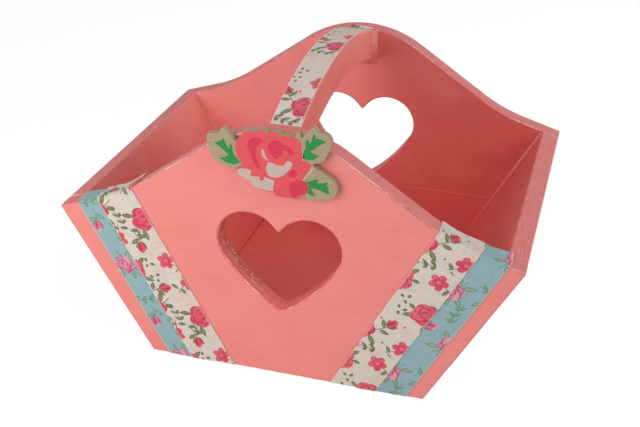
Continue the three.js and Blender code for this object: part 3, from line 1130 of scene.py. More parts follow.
def add_piece(
    name: str,
    mesh: bpy.types.Mesh,
    materials: Sequence[bpy.types.Material],
    stands_for: Optional[str] = None,
) -> bpy.types.Object:
    """Put a piece of the basket into the scene.

    Args:
        name: the piece's name.
        mesh: its shape, in place.
        materials: its finishes, in the order of the mesh's slots.
        stands_for: the CAD node that it replaces.

    Returns:
        The piece.
    """
    for material in materials:
        mesh.materials.append(material)
    piece = bpy.data.objects.new(name, mesh)
    bpy.context.scene.collection.objects.link(piece)
    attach(piece, "root")
    if stands_for:
        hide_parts(stands_for)
    log.info("%s: %d faces", name, len(mesh.polygons))
    return piece


@dataclass
class Woodwork:
    """The painted boards: two heart-cut panels, two slanted sides, the base and the handle."""

    arris: float = 0.75 * mm
    corner: float = 0.9 * mm
    step: float = 1.1 * mm
    ragged: float = 0.14 * mm
    least_hole: float = 100 * mm * mm
    facing_up: float = 0.7
    paints: list[bpy.types.Material] = field(default_factory=list)

    def build(self) -> None:
        """Make and paint every board."""
        self.paints = [CoralPaint(grain).material() for grain in Grain]
        face, inside = Grain.FACE.value, Grain.INSIDE.value
        self.board("front_panel", 1, True, (face, inside))
        self.board("back_panel", 1, False, (inside, face))
        for node in ("left_side_panel", "right_side_panel"):
            lowest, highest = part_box(node)
            outward = math.copysign(1, lowest.x + highest.x)
            self.board(node, 1, True, wall_slot=lambda normal: self.side_slot(normal, outward))
        self.board("base_panel", 1, True, wall_slot=lambda normal: inside)
        self.board("handle", 0, True, (inside, inside), lambda normal: face, handle_slant())

    def side_slot(self, normal: np.ndarray, outward: float) -> int:
        """The slot of a side panel's wall, from its direction."""
        if normal[1] > self.facing_up:
            return Grain.EDGE.value
        return Grain.FACE.value if normal[0] * outward > 0 else Grain.INSIDE.value

    def board(self, node: str, axis: int, low: bool, cap_slots: tuple[int, int] = (0, 0),
              wall_slot: Optional[Callable[[np.ndarray], int]] = None, slant: float = 0.0) -> None:
        """Make one board from the outline of a CAD node.

        Args:
            node: the node that the board stands for.
            axis: the axis across the board's thickness.
            low: True to trace the outline at the low end of that axis.
            cap_slots: the finishes of its low and high faces.
            wall_slot: gives the finish of a wall from its direction.
            slant: how far the board drifts along X for each metre along Y.
        """
        loops = face_loops(node, axis, low, slant)
        outlines = [loops[0]] + [loop for loop in loops[1:] if abs(area_of(loop)) > self.least_hole]
        contours = [
            Contour.around(loop, number > 0, self.corner, self.step)
            for number, loop in enumerate(outlines)
        ]
        lowest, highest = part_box(node)
        drift = abs(slant) * (highest.y - lowest.y) / 2 if axis == 0 else 0.0
        board = Board(contours, axis, lowest[axis] + drift, highest[axis] - drift, self.arris,
                      ragged=self.ragged, cap_slots=cap_slots, wall_slot=wall_slot)
        mesh = board.mesh(node + "_board")
        for vertex in mesh.vertices:
            vertex.co.x += slant * vertex.co.y
        add_piece(node + "_board", mesh, self.paints, node)


@dataclass
class Cloth:
    """A thin sheet of cloth from a grid of points along its middle."""

    middles: np.ndarray
    flat: np.ndarray
    thickness: float
    outward: Vector
    crease: float = 40 * degree

    def mesh(self, name: str) -> bpy.types.Mesh:
        """Build the sheet.

        Args:
            name: the mesh's name.

        Returns:
            A closed mesh with both sides of the cloth and its cut edge.
        """
        rows, columns = self.middles.shape[:2]
        normals = np.cross(np.gradient(self.middles, axis=0), np.gradient(self.middles, axis=1))
        normals /= np.linalg.norm(normals, axis=2)[:, :, None]
        if normals.mean((0, 1)) @ np.array(self.outward) < 0:
            normals = -normals
        body = bmesh.new()
        grain = body.loops.layers.uv.new(GRAIN)
        hem = body.verts.layers.float.new(ARRIS)
        sides = []
        for offset in (self.thickness / 2, -self.thickness / 2):
            places = self.middles + normals * offset
            sides.append([[body.verts.new(place) for place in row] for row in places])
        flat = {}
        for side in sides:
            for row, line in enumerate(side):
                for column, vertex in enumerate(line):
                    flat[vertex] = self.flat[row, column] / mm
                    vertex[hem] = float(column in (0, columns - 1))
        faces = []
        for side in sides:
            for row in range(rows - 1):
                for column in range(columns - 1):
                    ring = (side[row][column], side[row][column + 1],
                            side[row + 1][column + 1], side[row + 1][column])
                    faces.append(body.faces.new(ring))
        rim = [(0, column) for column in range(columns)]
        rim += [(row, columns - 1) for row in range(1, rows)]
        rim += [(rows - 1, column) for column in range(columns - 2, -1, -1)]
        rim += [(row, 0) for row in range(rows - 2, 0, -1)]
        for (row, column), (later_row, later_column) in zip(rim, rim[1:] + rim[:1]):
            ring = (sides[0][row][column], sides[0][later_row][later_column],
                    sides[1][later_row][later_column], sides[1][row][column])
            faces.append(body.faces.new(ring))
        for face in faces:
            face.smooth = True
            for loop in face.loops:
                loop[grain].uv = flat[loop.vert]
        made = closed_mesh(name, body)
        made.set_sharp_from_angle(angle=self.crease)
        return made


def thread_mesh(name: str, points: Sequence[Sequence[float]], radius: float) -> bpy.types.Mesh:
    """A loose thread: a thin round tube with closed ends.

    Args:
        name: the mesh's name.
        points: the line that the thread follows.
        radius: the thread's radius.

    Returns:
        The closed mesh.
    """
    body = bmesh.new()
    grain = body.loops.layers.uv.new(GRAIN)
    line = [Vector(point) for point in points]
    rings = []
    for index, place in enumerate(line):
        ahead = line[min(index + 1, len(line) - 1)] - line[max(index - 1, 0)]
        first = ahead.orthogonal().normalized()
        second = ahead.normalized().cross(first)
        turns = [2 * math.pi * step / THREAD_SIDES for step in range(THREAD_SIDES)]
        rings.append([
            body.verts.new(place + (first * math.cos(turn) + second * math.sin(turn)) * radius)
            for turn in turns
        ])
    for ring, following in zip(rings, rings[1:]):
        for index in range(THREAD_SIDES):
            later = (index + 1) % THREAD_SIDES
            face = body.faces.new((ring[index], ring[later], following[later], following[index]))
            face.smooth = True
    body.faces.new(rings[0])
    body.faces.new(rings[-1])
    for face in body.faces:
        for loop in face.loops:
            loop[grain].uv = (loop.vert.co.x / mm, (loop.vert.co.y + loop.vert.co.z) / mm)
    return closed_mesh(name, body)


def ease(value: np.ndarray, start: float, end: float) -> np.ndarray:
    """A smooth step from 0 at start to 1 at end."""
    share = np.clip((value - start) / (end - start), 0, 1)
    return share * share * (3 - 2 * share)


@dataclass(frozen=True)
class Lift:
    """A spot where the glue lets the cloth rise: its place on the strip, height and reach."""

    inwards: float
    past_fold: float
    height: float
    reach: float


@dataclass(frozen=True)
class Strip:
    """One fabric strip on the front panel, by its distances inwards from the pair's outer edge.

    Its end hangs over the panel's inner arris by up to tail at its inner side, is drawn in by up to trim
    at its outer side, and is folded askew by flare.
    """

    name: str
    near: float
    far: float
    step_at: Optional[float]
    print_at: tuple[float, float]
    lifts: tuple[Lift, ...] = ()
    tail: float = 0.0
    trim: float = 0.0
    flare: float = 0.0


@dataclass
class StripPair:
    """A blue strip and a floral one that laps over it, folded over the front panel's top edge."""

    side: int
    side_name: str
    margin: float
    lean: float
    lap: float
    print_at: tuple[tuple[float, float], tuple[float, float]]
    blue_lifts: tuple[Lift, ...] = ()
    floral_lifts: tuple[Lift, ...] = ()
    blue_trim: float = 0.0
    floral_tail: float = 0.0
    floral_flare: float = 0.0
    width: float = 19.6 * mm
    base_half: float = 68.75 * mm
    hem: float = 0.4 * mm
    glue: float = 0.12 * mm
    thickness: float = 0.36 * mm
    step_run: float = 2.2 * mm
    fold_radius: float = 0.9 * mm
    spare: float = 0.3 * mm
    fray: float = 0.16 * mm
    columns: int = 26
    row_step: float = 1.3 * mm
    fold_rows: int = 8
    top_rows: int = 9
    side_wave: float = 0.8
    end_wave: float = 0.9
    ripple: float = 0.05 * mm
    ripple_wave: float = 0.22
    edge_corner: float = 0.5 * mm
    edge_step: float = 1.0 * mm

    def build(self, floral: bpy.types.Material, blue: bpy.types.Material) -> None:
        """Make both strips.

        Args:
            floral: the floral cotton.
            blue: the blue cotton.
        """
        inner = self.width - self.lap
        lower = Strip("blue_ribbon", 0.0, self.width, None, self.print_at[0], self.blue_lifts,
                      trim=self.blue_trim)
        upper = Strip("floral_ribbon", inner, inner + self.width, self.width,
                      self.print_at[1], self.floral_lifts, tail=self.floral_tail,
                      flare=self.floral_flare)
        panel = "front_panel_board"
        self.strip(lower, blue, "blue_cotton", [panel])
        below = f"{self.side_name}_blue_ribbon_cloth"
        self.strip(upper, floral, "floral_cotton", [panel, below])

    def strip(self, strip: Strip, material: bpy.types.Material, slot: str, under: list[str]) -> None:
        """Make one strip.

        Args:
            strip: which strip it is.
            material: its cotton.
            slot: not used.
            under: the pieces that it lies on; not used.
        """
        inwards = np.linspace(strip.near, strip.far, self.columns)
        folds, normals = self.fold_line(inwards)
        below = (folds[:, 1] - self.hem) / math.cos(self.lean)
        thickness = self.panel_thickness() + self.spare
        rows = self.row_shares(float(below.max()), thickness)
        share = (inwards - strip.near) / (strip.far - strip.near)
        down, over = below / below.max(), 1 + share * strip.tail / thickness
        ways = rows[:, None] * np.where(rows[:, None] < 0, down[None, :], over[None, :])
        drawn = np.clip(ways / thickness, 0, 1) ** 2 * strip.trim
        sideways = inwards[None, :] + drawn * (1 - share)[None, :]
        sideways = sideways + np.clip(ways / thickness, 0, None) * strip.flare
        ways = self.frayed(ways, sideways, strip)
        heights = self.heights(ways, sideways, strip)
        middles = self.wrapped(ways, sideways, heights, folds, normals, inwards)
        flat = np.stack((sideways, ways + below.max()), 2) + np.array(strip.print_at)
        cloth = Cloth(middles, flat, self.thickness, Vector((0, -1, 0.2)))
        node = f"{self.side_name}_{strip.name}"
        piece = add_piece(node + "_cloth", cloth.mesh(node + "_cloth"), [material], node)

    def panel_thickness(self) -> float:
        """The front panel's thickness."""
        lowest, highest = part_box("front_panel")
        return highest.y - lowest.y

    def row_shares(self, below: float, thickness: float) -> np.ndarray:
        """Places along a strip, from the foot, below 0, over the fold at 0 to the inner arris."""
        radius = self.fold_radius
        foot = np.linspace(-below, -radius, max(2, round(below / self.row_step)))
        fold = np.linspace(-radius, radius, self.fold_rows)[1:]
        top = np.linspace(radius, thickness, self.top_rows)[1:]
        return np.concatenate((foot, fold, top))

    def frayed(self, ways: np.ndarray, sideways: np.ndarray, strip: Strip) -> np.ndarray:
        """Make the cut edges slightly uneven.

        Args:
            ways: places along the strip.
            sideways: places across it, which change here.
            strip: the strip.

        Returns:
            The places along the strip, with uneven ends.
        """
        for column in (0, -1):
            for row in range(ways.shape[0]):
                place = np.array((ways[row, column], strip.near + column))
                sideways[row, column] += self.fray * roughness_at(place, self.side_wave)
        uneven = ways.copy()
        for row in (0, -1):
            for column in range(ways.shape[1]):
                place = np.array((sideways[row, column], strip.far + row))
                uneven[row, column] += self.fray * roughness_at(place, self.end_wave)
        return uneven

    def heights(self, ways: np.ndarray, sideways: np.ndarray, strip: Strip) -> np.ndarray:
        """How high the cloth's middle lies above the wood."""
        high = np.full(ways.shape, self.glue + self.thickness / 2)
        if strip.step_at is not None:
            over = 1 - ease(sideways, strip.step_at, strip.step_at + self.step_run)
            high += over * (self.thickness + self.glue / 2)
        for row in range(ways.shape[0]):
            for column in range(ways.shape[1]):
                place = np.array((ways[row, column], sideways[row, column], strip.far))
                high[row, column] += self.ripple * roughness_at(place, self.ripple_wave)
        for lift in strip.lifts:
            away = np.hypot(sideways - lift.inwards, ways - lift.past_fold) / lift.reach
            high += lift.height * np.exp(-away * away)
        return high

    def fold_line(self, inwards: np.ndarray) -> tuple[np.ndarray, np.ndarray]:
        """Where lines along the strip meet the panel's top edge, on the right-hand side.

        Args:
            inwards: the lines' distances from the pair's outer edge.

        Returns:
            The points and the outward normals there.
        """
        outline = face_loops("front_panel", 1, True)[0]
        edge = Contour.around(outline, False, self.edge_corner, self.edge_step)
        away = np.array((math.cos(self.lean), -math.sin(self.lean)))
        start = np.array((self.base_half - self.margin, 0.0)) @ away
        points, normals = [], []
        for inward in inwards:
            gap = edge.points @ away - (start - inward)
            later = np.roll(gap, -1)
            crossing = np.flatnonzero((gap < 0) != (later < 0))
            best = max(crossing, key=lambda index: edge.points[index, 1])
            share = gap[best] / (gap[best] - later[best])
            after = (best + 1) % len(gap)
            points.append(edge.points[best] * (1 - share) + edge.points[after] * share)
            normal = edge.normals[best] * (1 - share) + edge.normals[after] * share
            normals.append(normal / np.linalg.norm(normal))
        return np.array(points), np.array(normals)

    def wrapped(self, ways: np.ndarray, sideways: np.ndarray, heights: np.ndarray,
                folds: np.ndarray, normals: np.ndarray, inwards: np.ndarray) -> np.ndarray:
        """Lay the strip on the wood.

        Args:
            ways: places along the strip, 0 at the fold.
            sideways: places across it.
            heights: heights above the wood.
            folds: where the columns meet the top edge.
            normals: the top edge's normals there.
            inwards: the columns' own places across the strip.

        Returns:
            The points of the cloth's middle.
        """
        along = np.array((math.sin(self.lean), math.cos(self.lean)))
        away = np.array((math.cos(self.lean), -math.sin(self.lean)))
        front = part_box("front_panel")[0].y
        radius = self.fold_radius
        middles = np.zeros((*ways.shape, 3))
        for column, (fold, normal) in enumerate(zip(folds, normals)):
            tangent = np.array((normal[1], -normal[0]))
            rise, slip = along @ normal, along @ tangent
            for row in range(ways.shape[0]):
                way, height = ways[row, column], heights[row, column]
                shift = away * (inwards[column] - sideways[row, column])
                if way < -radius:
                    flat, depth = fold + along * (way + radius - radius / rise), front - height
                elif way < radius:
                    turn = (way + radius) / radius * math.pi / 4
                    flat = fold + tangent * slip * way
                    flat = flat + normal * ((radius + height) * math.sin(turn) - radius)
                    depth = front + radius - (radius + height) * math.cos(turn)
                else:
                    flat = fold + tangent * slip * way + normal * height
                    depth = front + way
                flat = flat + shift
                middles[row, column] = (self.side * flat[0], depth, flat[1])
        return middles


@dataclass
class HandleRibbon:
    """The floral strip on top of the handle, whose slanted end laps over the back panel's top edge."""

    width: float = 13.7 * mm
    print_at: tuple[float, float] = (4 * mm, 8 * mm)
    glue: float = 0.12 * mm
    thickness: float = 0.36 * mm
    laps: tuple[float, float] = (4.2 * mm, 0.7 * mm)
    rise_before: float = 1.6 * mm
    rise_after: float = 1.3 * mm
    hump_radius: float = 56 * mm
    fray: float = 0.16 * mm
    columns: int = 18
    row_step: float = 1.3 * mm
    start: float = 0.1 * mm
    side_wave: float = 0.8
    end_wave: float = 0.9
    ripple: float = 0.05 * mm
    ripple_wave: float = 0.2
    thread: float = 0.11 * mm
    thread_points: int = 7
    pulls: tuple[tuple[float, float], ...] = ((3.0 * mm, 0.5 * mm), (2.0 * mm, 1.1 * mm))

    def build(self, floral: bpy.types.Material, thread: bpy.types.Material) -> None:
        """Make the strip and its loose threads.

        Args:
            floral: the floral cotton, whose brighter, pinker ground is painted light.
            thread: the same cotton without its print.
        """
        front, back = HandleEnd(True), HandleEnd(False)
        crest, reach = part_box("handle")[1].z, back.tip
        rise = crest - back.top
        radius = (reach**2 + rise**2) / (2 * rise)
        sideways = np.linspace(-self.width / 2, self.width / 2, self.columns)
        starts = np.full(self.columns, front.tip + self.start)
        ends = reach + np.linspace(*self.laps, self.columns)
        for column, place in enumerate(sideways):
            starts[column] += self.fray * roughness_at(np.array((place, 1.0)), self.end_wave)
            ends[column] += 2 * self.fray * roughness_at(np.array((place, 2.0)), self.end_wave)
        count = round(float(ends.max() - starts.min()) / self.row_step)
        along = np.linspace(starts, ends, count)
        across = np.repeat(sideways[None, :], count, 0)
        for column in (0, -1):
            for row in range(count):
                place = np.array((along[row, 0], column))
                across[row, column] += self.fray * roughness_at(place, self.side_wave)
        aside = across + front.middle + handle_slant() * (along - front.tip)
        bow = np.sqrt(radius**2 - np.minimum(np.abs(along), reach) ** 2) + crest - radius
        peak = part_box("back_panel")[1].z
        hump = peak - self.hump_radius + np.sqrt(self.hump_radius**2 - aside**2)
        lapped = ease(along, reach - self.rise_before, reach + self.rise_after)
        height = bow * (1 - lapped) + hump * lapped + self.glue + self.thickness / 2
        for row in range(count):
            for column in range(self.columns):
                place = np.array((along[row, column], across[row, column]))
                height[row, column] += self.ripple * roughness_at(place, self.ripple_wave)
        middles = np.stack((aside, along, height), 2)
        flat = np.stack((across, along), 2) + np.array(self.print_at)
        cloth = Cloth(middles, flat, self.thickness, Vector((0, 0, 1)))
        name = "handle_ribbon_cloth"
        piece = add_piece(name, cloth.mesh(name), [floral], "handle_ribbon")
        threads = self.threads(middles[0, 0], thread)

    def threads(self, corner: np.ndarray, cotton: bpy.types.Material) -> list[bpy.types.Object]:
        """Pull two threads out of the front corner of the strip.

        Args:
            corner: the corner of the cloth.
            cotton: the threads' finish.

        Returns:
            The two threads.
        """
        made = []
        for number, (out, up) in enumerate(self.pulls):
            shares = np.linspace(0, 1, self.thread_points)
            points = [
                (
                    corner[0] + 0.6 * mm - out * share,
                    corner[1] + (0.3 + 0.5 * number) * mm + 0.5 * mm * math.sin(3 * share),
                    corner[2] + 0.1 * mm + up * math.sin(2.2 * share),
                )
                for share in shares
            ]
            name = f"handle_ribbon_thread_{number + 1}"
            made.append(add_piece(name, thread_mesh(name, points, self.thread), [cotton]))
        return made


@dataclass
class RoseOrnament:
    """The rose cut-out: bare plywood with printed petals and leaf strokes.

    Drawings are in millimetres across and down from the top of the front panel. The petals are in
    percent of the rose's size: each corner starts an arc to the next one, with its rise over half
    its chord.
    """

    arris: float = 0.25 * mm
    corner: float = 0.35 * mm
    step: float = 0.6 * mm
    film: float = 0.05 * mm
    film_arris: float = 0.2
    film_corner: float = 0.2 * mm
    rim: float = 0.12 * mm
    size: float = 25.0
    arc_step: float = 6 * degree
    petals: tuple[tuple[float, float, float], ...] = (
        (-60, 14, 0.5), (-32, -2, 0.45), (-6, -1, 0.65), (15, -2, 0.03), (37, -2, 0.44),
        (52, 18, 0.04), (53, 39, 0.15), (67, 45, 0.35), (67, 53, 0.03), (51, 78, 0.97),
        (42, 108, 0), (39, 115, 0.02), (8, 116, 0.35), (-2, 108, 0.04), (-38, 103, 0.35),
        (-44, 92, 0.08), (-62, 85, 0.25), (-69, 70, 0), (-57, 61, 0.26), (-66, 17, 0),
    )
    shades: tuple[Drawing, ...] = (
        ((-11.4, 5.5), (-10.4, 3.1), (-8.1, 1.9), (-5.6, 1.8), (-4.3, 2.7), (-6.4, 5.3),
         (-7.9, 8.1), (-7.6, 11.0), (-6.2, 14.7), (-6.0, 16.4), (-7.5, 16.2), (-8.8, 13.8),
         (-10.6, 8.4)),
        ((-2.1, 6.0), (-1.7, 4.1), (0.8, 2.0), (3.5, 2.5), (5.0, 3.7), (7.2, 4.4), (9.2, 6.3),
         (8.8, 7.6), (7.3, 8.3), (6.8, 6.6), (5.0, 5.9), (4.1, 7.6), (3.8, 9.3), (2.6, 9.7),
         (1.3, 10.7), (-0.4, 9.3)),
        ((6.0, 17.3), (7.5, 16.1), (8.7, 14.5), (10.4, 15.3), (10.4, 17.5), (8.5, 18.4)),
        ((12.7, 19.6), (10.1, 19.9), (7.8, 21.5), (6.8, 24.3), (7.3, 26.6), (8.7, 28.0),
         (9.6, 28.5), (10.4, 27.0), (13.7, 25.5), (15.5, 22.8), (14.8, 20.4)),
    )
    lights: tuple[Drawing, ...] = (
        ((-4.7, 6.6), (-5.1, 8.8), (-4.5, 10.6), (-2.1, 11.9), (-3.3, 9.8), (-4.0, 7.4)),
        ((-2.8, 13.8), (-1.8, 12.7), (0.5, 13.2), (2.5, 13.6), (4.6, 13.4), (5.8, 11.7),
         (7.3, 10.8), (8.5, 11.9), (8.0, 13.9), (5.9, 16.6), (3.6, 18.7), (0.3, 19.7), (-2.4, 18.9),
         (-3.3, 16.5)),
        ((-16.8, 18.6), (-15.7, 17.6), (-13.3, 17.2), (-10.8, 17.6), (-10.0, 18.4), (-10.8, 19.3),
         (-9.9, 20.4), (-6.5, 20.3), (-6.6, 21.4), (-5.4, 22.1), (-4.4, 20.9), (-4.4, 19.9),
         (-2.2, 20.6), (0.1, 21.4), (-0.4, 24.2), (-0.9, 26.4), (-6.6, 26.0), (-9.7, 25.2),
         (-10.8, 23.8), (-10.9, 22.8), (-13.6, 21.9), (-16.2, 20.3)),
    )
    veins: tuple[Drawing, ...] = (
        ((-27.0, 6.4), (-25.4, 6.3), (-23.9, 5.2), (-23.1, 5.3), (-22.3, 3.7), (-21.7, 5.5),
         (-20.9, 7.3), (-19.6, 8.8), (-19.6, 6.4), (-19.1, 6.0), (-18.5, 7.5), (-18.1, 10.9),
         (-16.7, 12.6), (-15.1, 14.4), (-16.5, 15.4), (-18.3, 15.9), (-20.4, 15.7), (-22.7, 14.9),
         (-24.7, 13.4), (-22.3, 13.0), (-20.5, 11.8), (-21.8, 10.0), (-23.8, 8.6)),
        ((13.3, 9.0), (13.6, 5.6), (14.6, 4.2), (14.7, 0.8), (15.5, 0.0), (16.1, 0.3), (16.1, 1.7),
         (17.0, 1.1), (18.0, -2.4), (18.5, -3.0), (19.2, -2.0), (19.1, -0.9), (20.2, -1.1),
         (23.7, -0.1), (20.2, 2.4), (16.7, 5.4), (20.5, 6.9), (17.9, 8.9), (15.9, 9.5)),
        ((14.6, 19.7), (16.8, 19.1), (18.8, 17.9), (20.4, 18.0), (19.4, 19.5), (21.7, 19.5),
         (24.3, 18.5), (23.7, 20.2), (24.4, 21.4), (24.9, 24.5), (21.2, 23.3), (18.7, 22.5),
         (16.7, 22.5), (17.5, 24.5), (18.7, 26.2), (16.7, 26.1), (14.5, 24.8), (15.7, 22.9),
         (15.7, 21.0)),
    )
    primer: tuple[Drawing, ...] = (
        ((11.4, 1.4), (13.0, 4.2), (13.9, 7.4), (13.9, 10.0), (13.1, 9.9), (12.6, 6.0)),
        ((17.2, 12.2), (17.6, 13.8), (15.2, 16.9), (13.4, 19.2), (12.8, 18.8), (15.6, 15.4)),
    )

    def build(self) -> None:
        """Make the cut-out and print it."""
        lowest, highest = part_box("rose_plaque")
        outline = face_loops("rose_plaque", 1, True)[0]
        contour = Contour.around(outline, False, self.corner, self.step)
        wood = RoseWood().material()
        board = Board([contour], 1, lowest.y, highest.y, self.arris, wall_steps=1)
        add_piece("rose_plaque_board", board.mesh("rose_plaque_board"), [wood, wood],
                  "rose_plaque")
        coral = PrintInk("coral", screen(221, 73, 80), screen(229, 97, 95))
        self.film_print("rose_petals_print", self.flower(), coral.material(), 2, self.rim)
        prints = (
            ("primer", self.primer, PrintInk("primer", screen(192, 176, 164), screen(178, 160, 136)), 1),
            ("shade", self.shades, PrintInk("crimson", screen(210, 34, 72), screen(214, 57, 84)), 3),
            ("light", self.lights, PrintInk("cream", screen(201, 175, 166), screen(188, 163, 150)), 3),
            ("leaf", self.veins, PrintInk("green", screen(8, 129, 54), screen(42, 143, 75)), 1),
        )
        for name, drawings, ink, layer in prints:
            material = ink.material()
            for number, drawing in enumerate(drawings):
                loop = np.array(drawing) if name == "leaf" else smooth_loop(drawing)
                self.film_print(f"rose_{name}_print_{number + 1}", loop, material, layer)

    def flower(self) -> Loop:
        """The outline of the petals, in millimetres across and down."""
        corners = [complex(across, -down) * self.size / 100 for across, down, _ in self.petals]
        points: list[complex] = []
        for index, (_, _, bulge) in enumerate(self.petals):
            start, end = corners[index], corners[(index + 1) % len(corners)]
            if not bulge:
                points.append(start)
                continue
            sweep = 4 * math.atan(bulge)
            steps = math.ceil(sweep / self.arc_step)
            centre = (start + end) / 2 - 1j * (end - start) * (1 - bulge**2) / (4 * bulge)
            for step in range(steps):
                points.append(centre + (start - centre) * cmath.exp(-1j * sweep * step / steps))
        return np.array([(point.real, -point.imag) for point in points])

    def film_print(self, name: str, drawing: Loop, ink: bpy.types.Material, layer: int,
                   inset: float = 0.0) -> None:
        """Print one colour on the cut-out as a thin film.

        Args:
            name: the print's name.
            drawing: its outline, in millimetres across and down.
            ink: its colour.
            layer: how many films thick it is: a later print covers an earlier one.
            inset: how far it stays inside the outline.
        """
        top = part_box("front_panel")[1].z
        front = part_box("rose_plaque")[0].y
        loop = np.column_stack((drawing[:, 0] * mm, top - drawing[:, 1] * mm))
        contour = Contour.around(loop, False, self.film_corner, self.step)
        contour.points = contour.points - contour.normals * inset
        film = Board([contour], 1, front - layer * self.film, front, self.film_arris * self.film,
                     uneven=0.0, arris_steps=1, wall_steps=0)
        add_piece(name, film.mesh(name), [ink, ink])


@dataclass
class Beads:
    """Paint-filled beads of glue in the inner corners."""

    radii: tuple[float, float] = (1.1 * mm, 2.3 * mm)
    corner_radius: float = 1.0 * mm
    hollow: float = 0.35
    steps: int = 5
    lap: tuple[float, float, float] = (27 * mm, 76 * mm, 35 * mm)
    lap_radius: float = 0.25 * mm
    lap_points: int = 40
    lap_wobble: float = 0.3 * mm
    lap_wave: float = 0.05
    foot_below: float = 1 * mm
    rim_above: float = 40 * mm
    reach: float = 0.985
    brush_row: float = 0.3

    def build(self, paint: bpy.types.Material) -> None:
        """Run the beads round the handle's ends and up the corners."""
        inner = {"front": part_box("front_panel")[1].y, "back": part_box("back_panel")[0].y}
        for (name, level), radius in zip(inner.items(), self.radii):
            end = HandleEnd(name == "front")
            side = 1 if name == "back" else -1
            path = [
                (end.right, end.top),
                (end.right, end.foot),
                (end.left, end.foot),
                (end.left, end.top),
            ]
            outward = [(1, 0), (1, -1), (-1, -1), (-1, 0)]
            self.bead(f"handle_{name}_bead", path, outward, level, -side, radius, paint)
        start, stop, height = self.lap
        ridge = []
        for x in np.linspace(start, stop, self.lap_points):
            wobble = self.lap_wobble * roughness_at(np.array((x, 0.0)), self.lap_wave)
            ridge.append((x, inner["back"], height + wobble))
        lap = thread_mesh("back_panel_paint_lap", ridge, self.lap_radius)
        add_piece("back_panel_paint_lap", lap, [paint])
        for name, sign in (("left", -1), ("right", 1)):
            section = face_loops(f"{name}_side_panel", 1, True)[0]
            foot = min((p for p in section if p[1] < self.foot_below), key=lambda p: abs(p[0]))
            rim = min((p for p in section if p[1] > self.rim_above), key=lambda p: abs(p[0]))
            rise = rim - foot
            outward = np.array((-rise[1], rise[0])) / np.linalg.norm(rise) * sign
            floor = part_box("base_panel")[1].z
            start = foot + rise * (floor / rise[1])
            for end, level in inner.items():
                side = 1 if end == "back" else -1
                path = [tuple(start), tuple(foot + rise * self.reach)]
                self.bead(f"{end}_{name}_corner_bead", path, [tuple(outward)] * 2, level, -side,
                          self.corner_radius, paint)

    def bead(self, name: str, path: Drawing, outward: Drawing, level: float, side: int,
             radius: float, paint: bpy.types.Material) -> None:
        """Run one slightly hollow bead along a corner.

        Args:
            name: the bead's name.
            path: the corner's points in X and Z.
            outward: the direction away from the board at each point.
            level: the panel's face along Y.
            side: the direction along Y away from that face.
            radius: the bead's reach on both faces.
            paint: its finish.
        """
        body = bmesh.new()
        grain = body.loops.layers.uv.new(GRAIN)
        turns = [math.pi / 2 * step / self.steps for step in range(self.steps + 1)]
        hollow = [(1 - math.sin(turn), 1 - math.cos(turn)) for turn in turns]
        section = [
            (out * self.hollow + (1 - step / self.steps) * (1 - self.hollow),
             off * self.hollow + step / self.steps * (1 - self.hollow))
            for step, (out, off) in enumerate(hollow)
        ]
        section = [(-BEAD_ROOT, -BEAD_ROOT), (1, -BEAD_ROOT)] + section + [(-BEAD_ROOT, 1)]
        rings = []
        for (x, z), (right, up) in zip(path, outward):
            ring = []
            for out, off in section:
                place = (x + right * radius * out, level + side * radius * off, z + up * radius * out)
                ring.append(body.verts.new(place))
            rings.append(ring)
        count = len(section)
        way = 0.0
        for ring, following in zip(rings, rings[1:]):
            length = (following[0].co - ring[0].co).length / mm
            for index in range(count):
                later = (index + 1) % count
                face = body.faces.new((ring[index], ring[later], following[later], following[index]))
                face.smooth = 2 <= index < count - 2
                for loop, (u, v) in zip(face.loops, ((0, index), (0, later), (1, later), (1, index))):
                    loop[grain].uv = (way + u * length, v * self.brush_row)
            way += length
        body.faces.new(rings[0])
        body.faces.new(rings[-1])
        add_piece(name, closed_mesh(name, body), [paint])


class Brads:
    """The steel brads inside the joints, which keep their CAD shape."""

    def build(self) -> None:
        """Give every brad its finish."""
        steel = BradSteel().material()
        for name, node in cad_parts.items():
            if "_brad_" in name:
                node.data.materials.clear()
                node.data.materials.append(steel)
                log.info("%s: CAD shape", name)


@dataclass(frozen=True)
class Lamp:
    """A soft square lamp that looks at the basket from a turn, a rise and a distance."""

    name: str
    turn: float
    rise: float
    distance: float
    size: float
    power: float

    def hang(self) -> None:
        """Put the lamp into the scene."""
        light = bpy.data.lights.new(self.name, "AREA")
        light.size = self.size
        light.energy = self.power
        level = math.cos(self.rise)
        towards = Vector((
            math.sin(self.turn) * level,
            -math.cos(self.turn) * level,
            math.sin(self.rise),
        ))
        holder = bpy.data.objects.new(self.name, light)
        holder.location = towards * self.distance
        holder.rotation_euler = towards.to_track_quat("Z", "Y").to_euler()
        bpy.context.scene.collection.objects.link(holder)


